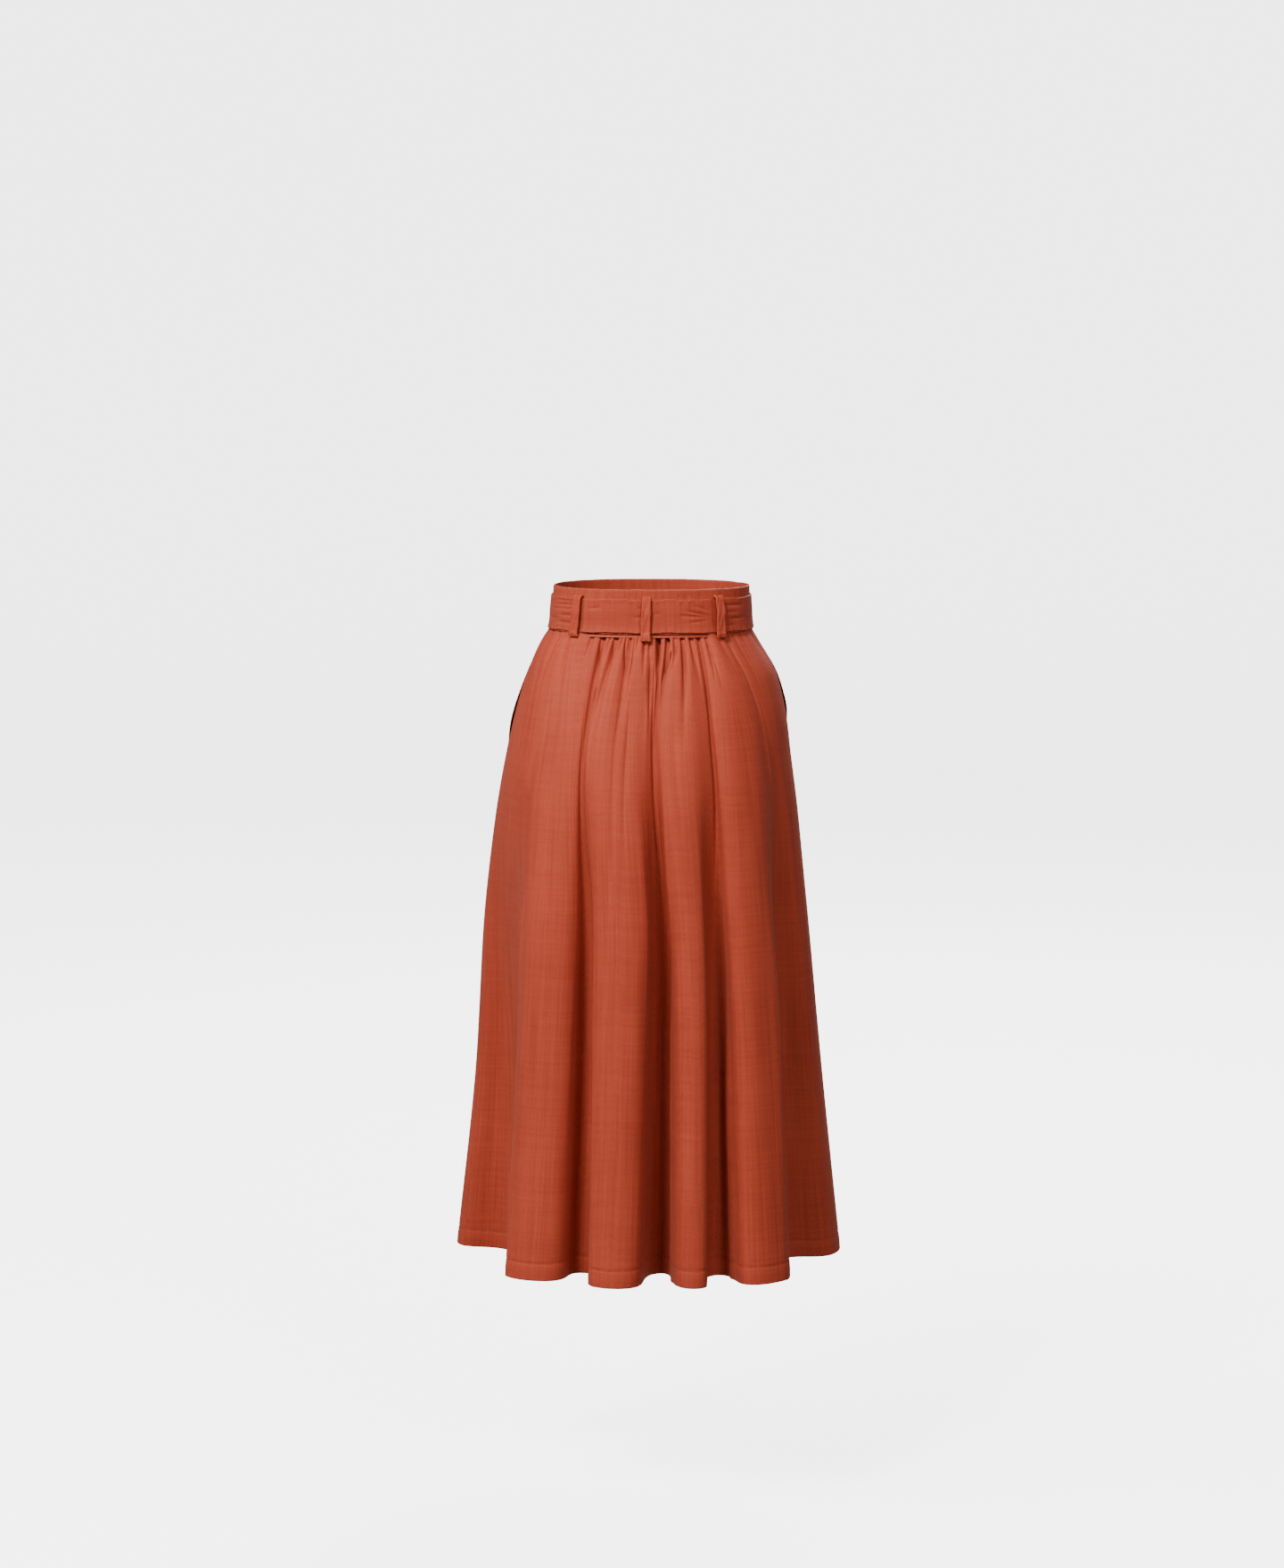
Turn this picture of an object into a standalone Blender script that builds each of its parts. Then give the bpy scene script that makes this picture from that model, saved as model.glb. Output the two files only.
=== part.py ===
"""Gathered midi skirt with a waistband, a cloth belt in loops and side seam pockets.

The skirt keeps the hollow form it has when worn. The frame has +Z up, +Y to the
front of the skirt and -Y to its back. The origin is the middle of the waist ring, at
the middle of the belt's width. Sizes are in metres. A bearing is an angle in degrees
seen from above: 0 is the +X side, 90 the front, 180 the -X side and 270 the back.
A drop is the distance below the waist seam.
"""

from collections import namedtuple

import bmesh
import bpy
import numpy as np

# Driving sizes.
WALL = 0.0015  # cloth of the skirt panels
SEAM_GAP = 0.0003  # between two pieces that are sewn together
SEAM_Z = -0.026  # waist seam
SKIRT_LENGTH = 0.780  # from the waist seam to the hem
HEM_DEPTH = 0.022  # turned-up hem, two layers thick
HEM_EXTRA = 0.0010  # what the second layer adds, on the inside
HEM_ROWS = 2
HEM_STEP = 0.002  # drop over which the wall grows to the hem's thickness
SHARP_ANGLE = 50.0  # degrees between two faces that meet at an edge
BAND_TOP = 0.028  # top edge of the waistband
BAND_WALL = 0.0022
BELT_BOTTOM = -0.0245
BELT_TOP = 0.0165
BELT_WALL = 0.0020
BELT_START = 75.0  # bearing of the belt's under end
BELT_END = 145.0  # bearing of the belt's free end, one turn on
BELT_RISE = 15.0  # degrees over which the free end climbs onto the under end
LOOP_WIDTH = 0.0112
LOOP_WALL = 0.0014
LOOP_TOP = 0.0190
LOOP_EASE = 0.0019  # air between a loop and the belt
LOOP_FOOT = 0.0013  # from the cloth below the seam to the middle of a loop's foot
LOOP_BULGE = 0.0012  # how much further out a loop stands at its middle
POCKET_WALL = 0.0010
POCKET_REACH = 48.0  # degrees that a pocket bag runs forward
POCKET_TOP = 0.020  # drop of the bag's top edge
POCKET_LENGTH = 0.235  # drop of the bag's bottom edge
POCKET_LIP = WALL + 0.0016 + 0.5 * POCKET_WALL  # from the cloth's outside to the bag
POCKET_DEPTH = 0.014  # how much further in the bag lies away from its mouth
POCKET_EDGE = 0.5  # degrees from the side seam to the bag's front edge
POCKET_UNDER = 3.0  # degrees that the bag's back edge runs behind the back panel
POCKET_PARTING = 0.0016  # between the bag's two layers where they are sewn
POCKET_ROOM = 0.004  # and how much more where they are not
POCKET_REACHES = (0.80, 1.00, 0.75)  # share of its reach at the bag's top, low down and bottom
POCKET_WIDEST = 0.7  # how far down it is widest
POCKET_TAPER = 0.7  # how much less room it has at its front fold
POCKET_ROWS = 10
POCKET_COLUMNS = 9
SQUARENESS = 2.25  # 2 is an ellipse, more is squarer

# Half sizes of the smooth ring that the folds' crests touch, at each drop.
Ring = namedtuple("Ring", "drop left right back front")
RINGS = (
    Ring(-0.060, 0.1208, 0.1200, 0.0870, 0.0905),
    Ring(-0.028, 0.1235, 0.1215, 0.0895, 0.0925),
    Ring(0.000, 0.1275, 0.1245, 0.0935, 0.0950),
    Ring(0.012, 0.1350, 0.1310, 0.1010, 0.1010),
    Ring(0.048, 0.1516, 0.1512, 0.1184, 0.1122),
    Ring(0.085, 0.1640, 0.1620, 0.1320, 0.1200),
    Ring(0.165, 0.1825, 0.1735, 0.1560, 0.1380),
    Ring(0.330, 0.2075, 0.1915, 0.1840, 0.1600),
    Ring(0.555, 0.2230, 0.2130, 0.2120, 0.1800),
    Ring(0.780, 0.2485, 0.2365, 0.2380, 0.2000),
)

# The large folds. Each row is a valley, with its bearing at four drops and its depth
# inside the ring there, and the lobe after it: where across the lobe its low flank,
# crest and high flank lie, as shares of it, and how far its crest stays inside the ring
# at the hem.
FOLD_DROPS = (0.000, 0.140, 0.380, 0.780)
Fold = namedtuple("Fold", "name bearings depths low crest high inset")
FOLDS = (
    Fold("front_right", (24, 26, 28, 29), (0.002, 0.006, 0.030, 0.062), 0.22, 0.52, 0.80, 0.006),
    Fold("front_2", (50, 51, 53, 54), (0.003, 0.008, 0.036, 0.070), 0.14, 0.42, 0.72, 0.000),
    Fold("front_3", (79, 78, 79, 81), (0.003, 0.009, 0.040, 0.080), 0.28, 0.56, 0.84, 0.008),
    Fold("front_4", (104, 105, 106, 107), (0.003, 0.008, 0.034, 0.064), 0.20, 0.50, 0.76, 0.000),
    Fold("front_5", (129, 128, 127, 127), (0.003, 0.009, 0.040, 0.076), 0.24, 0.55, 0.80, 0.010),
    Fold("front_left", (152, 151, 149, 147), (0.002, 0.006, 0.032, 0.058), 0.20, 0.46, 0.65, 0.000),
    Fold("back_1", (197, 208, 205, 204), (0.001, 0.002, 0.036, 0.084), 0.40, 0.63, 0.92, 0.010),
    Fold("back_2", (238, 240, 244, 245), (0.003, 0.008, 0.046, 0.080), 0.19, 0.51, 0.77, 0.006),
    Fold("back_3", (279, 275, 280, 278), (0.003, 0.011, 0.056, 0.092), 0.13, 0.39, 0.64, 0.007),
    Fold("back_4", (307, 303, 303, 300), (0.003, 0.009, 0.044, 0.070), 0.07, 0.29, 0.74, 0.000),
    Fold("back_5", (324, 332, 335, 333), (0.002, 0.008, 0.038, 0.072), 0.26, 0.54, 0.80, 0.000),
)
LOBE_SHARES = (0.0, 0.6, 1.0, 1.0)  # how much of a lobe's own shape it has at each drop
PINCHES = (0.00, 0.09, 0.03, 0.00)  # how much the valleys close up there
INSET_GROWTH = 1.5  # power of the drop by which a crest's inset grows
UPRIGHT = 0.80  # how upright the flanks of a full fold are
FULL_FOLD = 0.050  # depth of a full fold

# The gathers under the waistband: bearing of each trough at the seam, how far it
# leans by its end, its depth and how far down it reaches.
Gather = namedtuple("Gather", "bearing lean depth reach")
GATHERS = (
    Gather(4.0, 0.0, 0.0016, 0.060),
    Gather(13.0, 1.0, 0.0020, 0.090),
    Gather(22.0, 0.0, 0.0030, 0.150),
    Gather(29.5, -1.0, 0.0026, 0.070),
    Gather(36.5, -2.0, 0.0034, 0.120),
    Gather(43.5, 1.5, 0.0030, 0.080),
    Gather(50.0, 0.0, 0.0040, 0.160),
    Gather(57.0, -2.0, 0.0034, 0.070),
    Gather(64.5, 1.0, 0.0042, 0.200),
    Gather(71.5, 2.0, 0.0030, 0.060),
    Gather(79.0, 0.0, 0.0044, 0.160),
    Gather(85.5, -2.5, 0.0036, 0.090),
    Gather(92.0, 0.0, 0.0040, 0.260),
    Gather(98.5, 2.0, 0.0030, 0.060),
    Gather(104.0, 0.0, 0.0040, 0.150),
    Gather(111.0, -2.0, 0.0034, 0.110),
    Gather(118.0, 1.0, 0.0038, 0.180),
    Gather(124.5, 2.0, 0.0030, 0.070),
    Gather(131.0, 0.0, 0.0040, 0.160),
    Gather(138.0, -2.0, 0.0030, 0.090),
    Gather(145.5, 0.0, 0.0030, 0.120),
    Gather(152.0, 1.5, 0.0024, 0.060),
    Gather(158.0, 0.0, 0.0026, 0.130),
    Gather(168.0, 0.0, 0.0018, 0.070),
    Gather(187.0, 2.0, 0.0018, 0.120),
    Gather(197.0, 2.0, 0.0024, 0.150),
    Gather(206.0, 0.0, 0.0020, 0.040),
    Gather(215.0, 1.0, 0.0022, 0.080),
    Gather(229.5, -1.0, 0.0030, 0.040),
    Gather(238.0, 0.0, 0.0044, 0.180),
    Gather(248.0, -2.5, 0.0040, 0.130),
    Gather(257.5, -1.0, 0.0046, 0.300),
    Gather(268.0, 0.0, 0.0012, 0.030),
    Gather(279.0, 0.0, 0.0048, 0.180),
    Gather(285.5, -4.0, 0.0046, 0.120),
    Gather(290.0, 0.0, 0.0026, 0.035),
    Gather(295.0, -1.5, 0.0042, 0.130),
    Gather(301.5, 0.5, 0.0034, 0.070),
    Gather(307.0, 0.0, 0.0044, 0.180),
    Gather(311.5, 3.0, 0.0028, 0.080),
    Gather(318.5, 1.0, 0.0014, 0.070),
    Gather(324.0, 2.0, 0.0024, 0.140),
    Gather(330.0, 3.0, 0.0018, 0.080),
    Gather(336.0, 2.0, 0.0012, 0.060),
    Gather(350.0, 1.0, 0.0020, 0.070),
)
GATHER_PEAK = 0.014  # drop at which a gather is deepest
GATHER_AT_SEAM = 0.45  # share of its depth that it has at the seam
GATHER_WIDTH = 0.44  # half width of a trough, as a share of the room beside it
GATHER_MOST_WIDTH = 3.4  # and no wider than this, in degrees
GATHER_FADE = 1.3  # power by which a gather fades down its reach

# The side seam pockets: where each mouth starts and ends, and how far the front
# panel's edge stands off the back panel's edge there.
Pocket = namedtuple("Pocket", "name seam forward mouth_top mouth_bottom gape")
POCKETS = (
    Pocket("pocket_left", 180.0, -1.0, 0.042, 0.142, 0.0062),
    Pocket("pocket_right", 360.0, 1.0, 0.030, 0.124, 0.0069),
)
GAPE_OPENS = 1.2  # power by which a mouth opens down its length
GAPE_CLOSES = 7.0  # power by which it closes again at its bottom end
GAPE_REACH = 20.0  # degrees over which the front panel eases back to its ring
MOUTH_SHIFT = 0.55  # how far the edge also moves forward, as a share of the gape

# Belt loops: bearing, how far the bottom swings, the height of the bottom edge, and the
# belt layers inside it.
Loop = namedtuple("Loop", "name bearing swing bottom layers")
LOOPS = (
    Loop("belt_loop_back_left", 219.8, -0.4, -0.0302, 1),
    Loop("belt_loop_back_centre", 269.3, -0.4, -0.0336, 1),
    Loop("belt_loop_back_right", 320.6, -0.6, -0.0306, 1),
    Loop("belt_loop_front_right", 46.0, 0.0, -0.0310, 1),
    Loop("belt_loop_front_left", 134.0, 0.0, -0.0310, 2),
)

PANEL_DROPS = (0.0, 0.006, 0.014, 0.028, 0.045, 0.070, 0.095, 0.118, 0.142, 0.200,
               0.290, 0.400, 0.520, 0.650)
PANEL_STEP = 2.7  # degrees between columns of a panel, at most
LEAST_COLUMNS = 3  # columns from one gather to the next
BAND_STEP = 5.0  # degrees between columns of the waistband and belt
BELT_HEIGHTS = (BELT_TOP, 0.5 * (BELT_TOP + BELT_BOTTOM), BELT_BOTTOM)


def curve_through(at, places, values):
    """Smooth curve through values given at places, level beyond the first and last."""
    places = np.asarray(places, float)
    values = np.asarray(values, float)
    slopes = np.zeros_like(values)
    runs = np.diff(places)
    rises = np.diff(values) / runs
    same_way = rises[1:] * rises[:-1] > 0
    mean = (rises[1:] * runs[:-1] + rises[:-1] * runs[1:]) / (runs[:-1] + runs[1:])
    limit = 3.0 * np.minimum(np.abs(rises[1:]), np.abs(rises[:-1]))
    slopes[1:-1] = np.where(same_way, np.sign(mean) * np.minimum(np.abs(mean), limit), 0)
    slopes[0] = rises[0]
    slopes[-1] = rises[-1]
    at = np.clip(np.asarray(at, float), places[0], places[-1])
    cell = np.clip(np.searchsorted(places, at, side="right") - 1, 0, len(runs) - 1)
    run = runs[cell]
    t = (at - places[cell]) / run
    start = values[cell] * (1 + 2 * t) * (1 - t) ** 2 + slopes[cell] * run * t * (1 - t) ** 2
    return start + values[cell + 1] * t * t * (3 - 2 * t) + slopes[cell + 1] * run * t * t * (t - 1)


def ring_radius(bearing, drop):
    """Distance from the axis to the smooth ring that the crests touch."""
    drops = [ring.drop for ring in RINGS]
    side = {}
    for name in ("left", "right", "back", "front"):
        side[name] = curve_through(drop, drops, [getattr(ring, name) for ring in RINGS])
    angle = np.radians(bearing)
    across = np.cos(angle)
    along = np.sin(angle)
    half_width = np.where(across > 0, side["right"], side["left"])
    half_depth = np.where(along > 0, side["front"], side["back"])
    wide = np.abs(across / half_width) ** SQUARENESS
    deep = np.abs(along / half_depth) ** SQUARENESS
    return (wide + deep) ** (-1.0 / SQUARENESS)


def flank(t):
    """Falls smoothly from 1 at t = 0 to 0 at t = 1."""
    return 0.5 * (1 + np.cos(np.pi * np.clip(t, 0, 1)))


def across_lobe(lobe, t, drop, full):
    """How far across its lobe a point is, when its way round the fold is t."""
    own = curve_through(drop, FOLD_DROPS, LOBE_SHARES)
    pinch = curve_through(drop, FOLD_DROPS, PINCHES)
    low = own * (lobe.low - 0.25)
    crest = own * (lobe.crest - 0.50)
    high = own * (lobe.high - 0.75)
    turn = 2 * np.pi * t
    across = t + (0.5 * (low - high) - pinch) * np.sin(turn)
    across += crest * 0.5 * (1 - np.cos(turn))
    across += 0.5 * (low + high - crest) * 0.5 * (1 - np.cos(2 * turn))
    return across + UPRIGHT * full * np.sin(2 * turn) / (4 * np.pi)


def folded(place, drop):
    """Bearing and depth of the large folds, for the cloth that is at a place on the seam."""
    bearing = np.zeros_like(place)
    depth = np.zeros_like(place)
    count = len(FOLDS)
    lobe = np.searchsorted([fold.bearings[0] for fold in FOLDS], place, side="right") - 1
    lobe = np.where(lobe < 0, count - 1, lobe)
    for i in range(count):
        inside = lobe == i
        low = FOLDS[i]
        high = FOLDS[(i + 1) % count]
        turn = 360.0 if i == count - 1 else 0.0
        at = place[inside]
        at = np.where(at < low.bearings[0], at + 360.0, at)
        t = (at - low.bearings[0]) / (high.bearings[0] + turn - low.bearings[0])
        d = drop[inside]
        low_at = curve_through(d, FOLD_DROPS, low.bearings)
        high_at = curve_through(d, FOLD_DROPS, high.bearings) + turn
        valley = np.where(
            t < 0.5,
            curve_through(d, FOLD_DROPS, low.depths),
            curve_through(d, FOLD_DROPS, high.depths),
        )
        crest = low.inset * np.clip(d / SKIRT_LENGTH, 0, 1) ** INSET_GROWTH
        full = np.clip((valley - crest) / FULL_FOLD, 0, 1)
        bearing[inside] = low_at + (high_at - low_at) * across_lobe(low, t, d, full)
        depth[inside] = crest + (valley - crest) * 0.5 * (1 + np.cos(2 * np.pi * t))
    return bearing, depth


def gather_depth(place, drop):
    """Depth of the gathers, which fade out down the cloth."""
    depth = np.zeros_like(place)
    count = len(GATHERS)
    for i, gather in enumerate(GATHERS):
        before = (gather.bearing - GATHERS[i - 1].bearing) % 360
        after = (GATHERS[(i + 1) % count].bearing - gather.bearing) % 360
        faded = np.clip(drop / gather.reach, 0, 1)
        off = (place - gather.bearing - gather.lean * faded + 180) % 360 - 180
        room = np.where(off < 0, before, after)
        width = np.minimum(GATHER_WIDTH * room, GATHER_MOST_WIDTH)
        rise = GATHER_AT_SEAM + (1 - GATHER_AT_SEAM) * np.clip(drop / GATHER_PEAK, 0, 1)
        depth += gather.depth * rise * (1 - faded) ** GATHER_FADE * flank(np.abs(off) / width)
    return depth


def gape(place, drop, front):
    """How far the front panel's edge stands off at the pocket mouths."""
    out = np.zeros_like(place)
    if not front:
        return out
    for pocket in POCKETS:
        off = np.abs((place - pocket.seam + 180) % 360 - 180)
        down = (drop - pocket.mouth_top) / (pocket.mouth_bottom - pocket.mouth_top)
        down = np.clip(down, 0, 1)
        swell = down ** GAPE_OPENS * (1 - down ** GAPE_CLOSES)
        out += pocket.gape * swell * flank(off / GAPE_REACH)
    return out


def cloth_point(place, drop, front):
    """Point on the outside of a panel, for a place on the seam and a drop."""
    place, drop = np.broadcast_arrays(np.asarray(place, float), np.asarray(drop, float))
    bearing, depth = folded(place, drop)
    depth = depth + gather_depth(place, drop)
    stand = gape(place, drop, front)
    radius = ring_radius(bearing, drop) - depth + stand
    angle = np.radians(bearing)
    x = radius * np.cos(angle)
    y = radius * np.sin(angle) + MOUTH_SHIFT * stand
    return np.stack([x, y, SEAM_Z - drop], axis=-1)


def cloth_out(place, drop, front):
    """Unit direction out of a panel's cloth."""
    turn = 0.05
    step = 0.0005
    inside = np.clip(drop, step, SKIRT_LENGTH - step)
    round_way = cloth_point(place + turn, drop, front) - cloth_point(place - turn, drop, front)
    down_way = cloth_point(place, inside + step, front) - cloth_point(place, inside - step, front)
    out = np.cross(round_way, -down_way)
    return out / np.linalg.norm(out, axis=-1, keepdims=True)


def panel_places(first, last):
    """Columns of a panel: one in each trough, with more between them."""
    marks = [first] + [g.bearing for g in GATHERS if first < g.bearing < last] + [last]
    places = []
    for low, high in zip(marks, marks[1:]):
        count = max(LEAST_COLUMNS, round((high - low) / PANEL_STEP))
        places += list(np.linspace(low, high, count, endpoint=False))
    return np.array(places + [last])


def wall_between(name, outer, inner, colour):
    """Closed wall between two grids of points of the same shape, (rows, columns, 3)."""
    rows, columns = outer.shape[:2]
    mesh = bmesh.new()
    skins = []
    for grid in (outer, inner):
        skins.append([[mesh.verts.new(grid[i, j]) for j in range(columns)] for i in range(rows)])
    out, back = skins
    for i in range(rows - 1):
        for j in range(columns - 1):
            mesh.faces.new((out[i][j], out[i + 1][j], out[i + 1][j + 1], out[i][j + 1]))
            mesh.faces.new((back[i][j + 1], back[i + 1][j + 1], back[i + 1][j], back[i][j]))
    for j in range(columns - 1):
        mesh.faces.new((out[0][j], out[0][j + 1], back[0][j + 1], back[0][j]))
        mesh.faces.new((back[-1][j], back[-1][j + 1], out[-1][j + 1], out[-1][j]))
    for i in range(rows - 1):
        mesh.faces.new((out[i][0], back[i][0], back[i + 1][0], out[i + 1][0]))
        mesh.faces.new((back[i][-1], out[i][-1], out[i + 1][-1], back[i + 1][-1]))
    return add_object(name, mesh, colour)


def add_object(name, mesh, colour):
    """Turns a bmesh into an object with its own cloth material, faces pointing out."""
    bmesh.ops.triangulate(mesh, faces=mesh.faces[:])
    if mesh.calc_volume(signed=True) < 0:
        bmesh.ops.reverse_faces(mesh, faces=mesh.faces[:])
    data = bpy.data.meshes.new(name)
    mesh.to_mesh(data)
    mesh.free()
    data.shade_smooth()
    data.set_sharp_from_angle(angle=np.radians(SHARP_ANGLE))
    material = bpy.data.materials.new(name)
    material.use_nodes = True
    shader = material.node_tree.nodes["Principled BSDF"]
    shader.inputs["Base Color"].default_value = (*colour, 1)
    shader.inputs["Roughness"].default_value = 0.45
    shader.inputs["Metallic"].default_value = 0.0
    data.materials.append(material)
    made = bpy.data.objects.new(name, data)
    bpy.context.scene.collection.objects.link(made)
    return made


def clay(light):
    """The skirt's rust red, lighter or darker."""
    return (0.46 * light, 0.085 * light, 0.045 * light)


def make_panel(name, first, last, front, colour):
    """A skirt panel from one side seam to the other, with its turned-up hem."""
    places = panel_places(first, last)
    half_gap = 0.5 * SEAM_GAP
    hem_start = SKIRT_LENGTH - HEM_DEPTH
    hem_drops = np.linspace(hem_start + HEM_STEP, SKIRT_LENGTH, HEM_ROWS)
    drops = np.concatenate([PANEL_DROPS, [hem_start], hem_drops])
    place, drop = np.meshgrid(places, drops)
    outer = cloth_point(place, drop, front)
    out = cloth_out(place, drop, front)
    thick = np.where(drop > hem_start, WALL + HEM_EXTRA, WALL)
    inner = outer - out * thick[..., None]
    inner[..., 2] = outer[..., 2]
    for grid in (outer, inner):
        grid[0, :, 2] -= half_gap
    side_gap(outer, inner, half_gap)
    return wall_between(name, outer, inner, colour)


def side_gap(outer, inner, half_gap):
    """Draws both side edges back along the cloth, by half a seam gap."""
    for edge, beside in ((0, 1), (-1, -2)):
        along = outer[:, beside] - outer[:, edge]
        along /= np.linalg.norm(along, axis=-1, keepdims=True)
        outer[:, edge] += along * half_gap
        inner[:, edge] += along * half_gap


def band_point(bearing, z, stand):
    """Point at a height on the waistband's outside, moved out by stand."""
    radius = ring_radius(bearing, SEAM_Z - z) + stand
    angle = np.radians(bearing)
    z = np.broadcast_to(z, radius.shape)
    return np.stack([radius * np.cos(angle), radius * np.sin(angle), z], axis=-1)


def make_band(name, first, last, colour):
    """Half of the waistband."""
    gap = 0.5 * SEAM_GAP
    bearings = np.linspace(first, last, round((last - first) / BAND_STEP) + 1)
    bearings[0] += np.degrees(gap / RINGS[0].left)
    bearings[-1] -= np.degrees(gap / RINGS[0].left)
    heights = (BAND_TOP, *BELT_HEIGHTS, SEAM_Z + gap)
    bearing, z = np.meshgrid(bearings, heights)
    outer = band_point(bearing, z, 0.0)
    inner = band_point(bearing, z, -BAND_WALL)
    return wall_between(name, outer, inner, colour)


def belt_lift(bearing):
    """How far the belt's inside stands off the waistband: its free end lies on its start."""
    climb = (bearing - (BELT_START + 360 - BELT_RISE)) / (BELT_RISE - BAND_STEP)
    return SEAM_GAP + (BELT_WALL + SEAM_GAP) * (1 - flank(climb))


def make_belt(colour):
    """The cloth belt, once round and past its start at the front."""
    turn = 360 + BELT_END - BELT_START
    bearings = np.linspace(BELT_START, BELT_START + turn, round(turn / BAND_STEP) + 1)
    bearing, z = np.meshgrid(bearings, BELT_HEIGHTS)
    lift = belt_lift(bearing)
    outer = band_point(bearing, z, lift + BELT_WALL)
    inner = band_point(bearing, z, lift)
    return wall_between("belt", outer, inner, colour)


def loop_path(loop):
    """Heights and stands, from the waistband, of a loop's middle line, top to bottom."""
    on_band = SEAM_GAP + 0.5 * LOOP_WALL
    clear = on_band + loop.layers * (BELT_WALL + SEAM_GAP) + LOOP_EASE
    bulge = clear + LOOP_BULGE
    seam_ring = ring_radius(loop.bearing, 0.0)
    foot = ring_radius(loop.bearing, SEAM_Z - loop.bottom) - seam_ring + LOOP_FOOT
    return np.array((
        (LOOP_TOP, on_band),
        (LOOP_TOP, 0.5 * (on_band + clear)),
        (BELT_TOP + LOOP_WALL, clear),
        (0.5 * BELT_TOP, 0.5 * (clear + bulge)),
        (0.0, bulge),
        (0.5 * BELT_BOTTOM, bulge),
        (BELT_BOTTOM, clear),
        (SEAM_Z, 0.5 * (clear + foot)),
        (loop.bottom, foot),
    ))


def make_loop(loop, colour):
    """A belt loop: sewn flat at both ends, standing clear over the belt between them."""
    path = loop_path(loop)
    along = np.gradient(path, axis=0)
    along /= np.linalg.norm(along, axis=1, keepdims=True)
    across = 0.5 * LOOP_WALL * along[:, ::-1] * (1, -1)
    half_turn = np.degrees(0.5 * LOOP_WIDTH / ring_radius(loop.bearing, 0.0))
    swing = loop.swing * np.linspace(0, 1, len(path))
    bearing = loop.bearing + swing[:, None] + half_turn * np.array([-1, 0, 1])
    skins = []
    for skin in (path - across, path + across):
        z = np.repeat(skin[:, :1], 3, axis=1)
        stand = np.repeat(skin[:, 1:], 3, axis=1)
        grid = band_point(bearing, np.maximum(z, SEAM_Z), stand)
        grid[..., 2] = z
        skins.append(grid)
    return wall_between(loop.name, skins[0], skins[1], colour)


def make_pocket(pocket, colour):
    """A pocket bag: two layers joined at the fold in front, open at the seam."""
    drops = np.linspace(POCKET_TOP, POCKET_LENGTH, POCKET_ROWS)
    middle = np.array([pocket_row(pocket, drop) for drop in drops])
    round_way = np.gradient(middle, axis=1)
    down_way = np.gradient(middle, axis=0)
    out = np.cross(round_way, down_way)
    out *= 0.5 * POCKET_WALL / np.linalg.norm(out, axis=-1, keepdims=True)
    return wall_between(pocket.name, middle + out, middle - out, colour)


def pocket_row(pocket, drop):
    """One row of a pocket bag: along its front layer, round the fold and back."""
    down = (drop - POCKET_TOP) / (POCKET_LENGTH - POCKET_TOP)
    across = np.linspace(0, 1, POCKET_COLUMNS)
    reach = POCKET_REACH * curve_through(down, (0.0, POCKET_WIDEST, 1.0), POCKET_REACHES)
    places = pocket.seam + pocket.forward * (POCKET_EDGE + reach * across)
    depths = POCKET_LIP + POCKET_DEPTH * (1 - flank(2 * across))
    room = POCKET_ROOM * np.sin(np.pi * down)
    parting = POCKET_PARTING + room * (1 - POCKET_TAPER * across)
    parting[-1] = POCKET_PARTING
    front_layer = behind_cloth(places, drop, True, depths)
    back_layer = behind_cloth(places, drop, False, depths + parting)
    back_edge = np.array([pocket.seam - pocket.forward * POCKET_UNDER])
    lip = behind_cloth(back_edge, drop, False, POCKET_LIP)
    return np.concatenate([front_layer, back_layer[::-1], lip])


def behind_cloth(places, drop, front, depth):
    """Points behind a panel's cloth, by a depth."""
    places = places % 360.0
    inward = -cloth_out(places, drop, front)
    return cloth_point(places, drop, front) + inward * np.reshape(depth, (-1, 1))


def clear_scene():
    for old in list(bpy.data.objects):
        bpy.data.objects.remove(old, do_unlink=True)


def main():
    clear_scene()
    make_panel("skirt_back", 180.0, 360.0, False, clay(1.0))
    make_panel("skirt_front", 0.0, 180.0, True, clay(1.0))
    make_band("waistband_back", 180.0, 360.0, clay(0.95))
    make_band("waistband_front", 0.0, 180.0, clay(0.95))
    make_belt(clay(0.98))
    for loop in LOOPS:
        make_loop(loop, clay(1.02))
    for pocket in POCKETS:
        make_pocket(pocket, clay(0.55))


main()
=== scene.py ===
"""Gathered midi skirt in rust red satin twill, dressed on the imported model.

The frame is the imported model's: metres, +Z up, +Y to the front of the skirt, -Y to its
back, and the origin in the middle of the waist ring. A bearing is an angle in degrees
seen from above: 0 is the +X side, 90 the front, 180 the -X side and 270 the back. A
place is the bearing at which a thread of the cloth starts at the waist seam, and a drop
is the distance below that seam. The cloth repeats the part's own sizes and laws, and
adds the fine creases, seams, hem, stitches and satin.
"""

from collections import namedtuple

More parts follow.
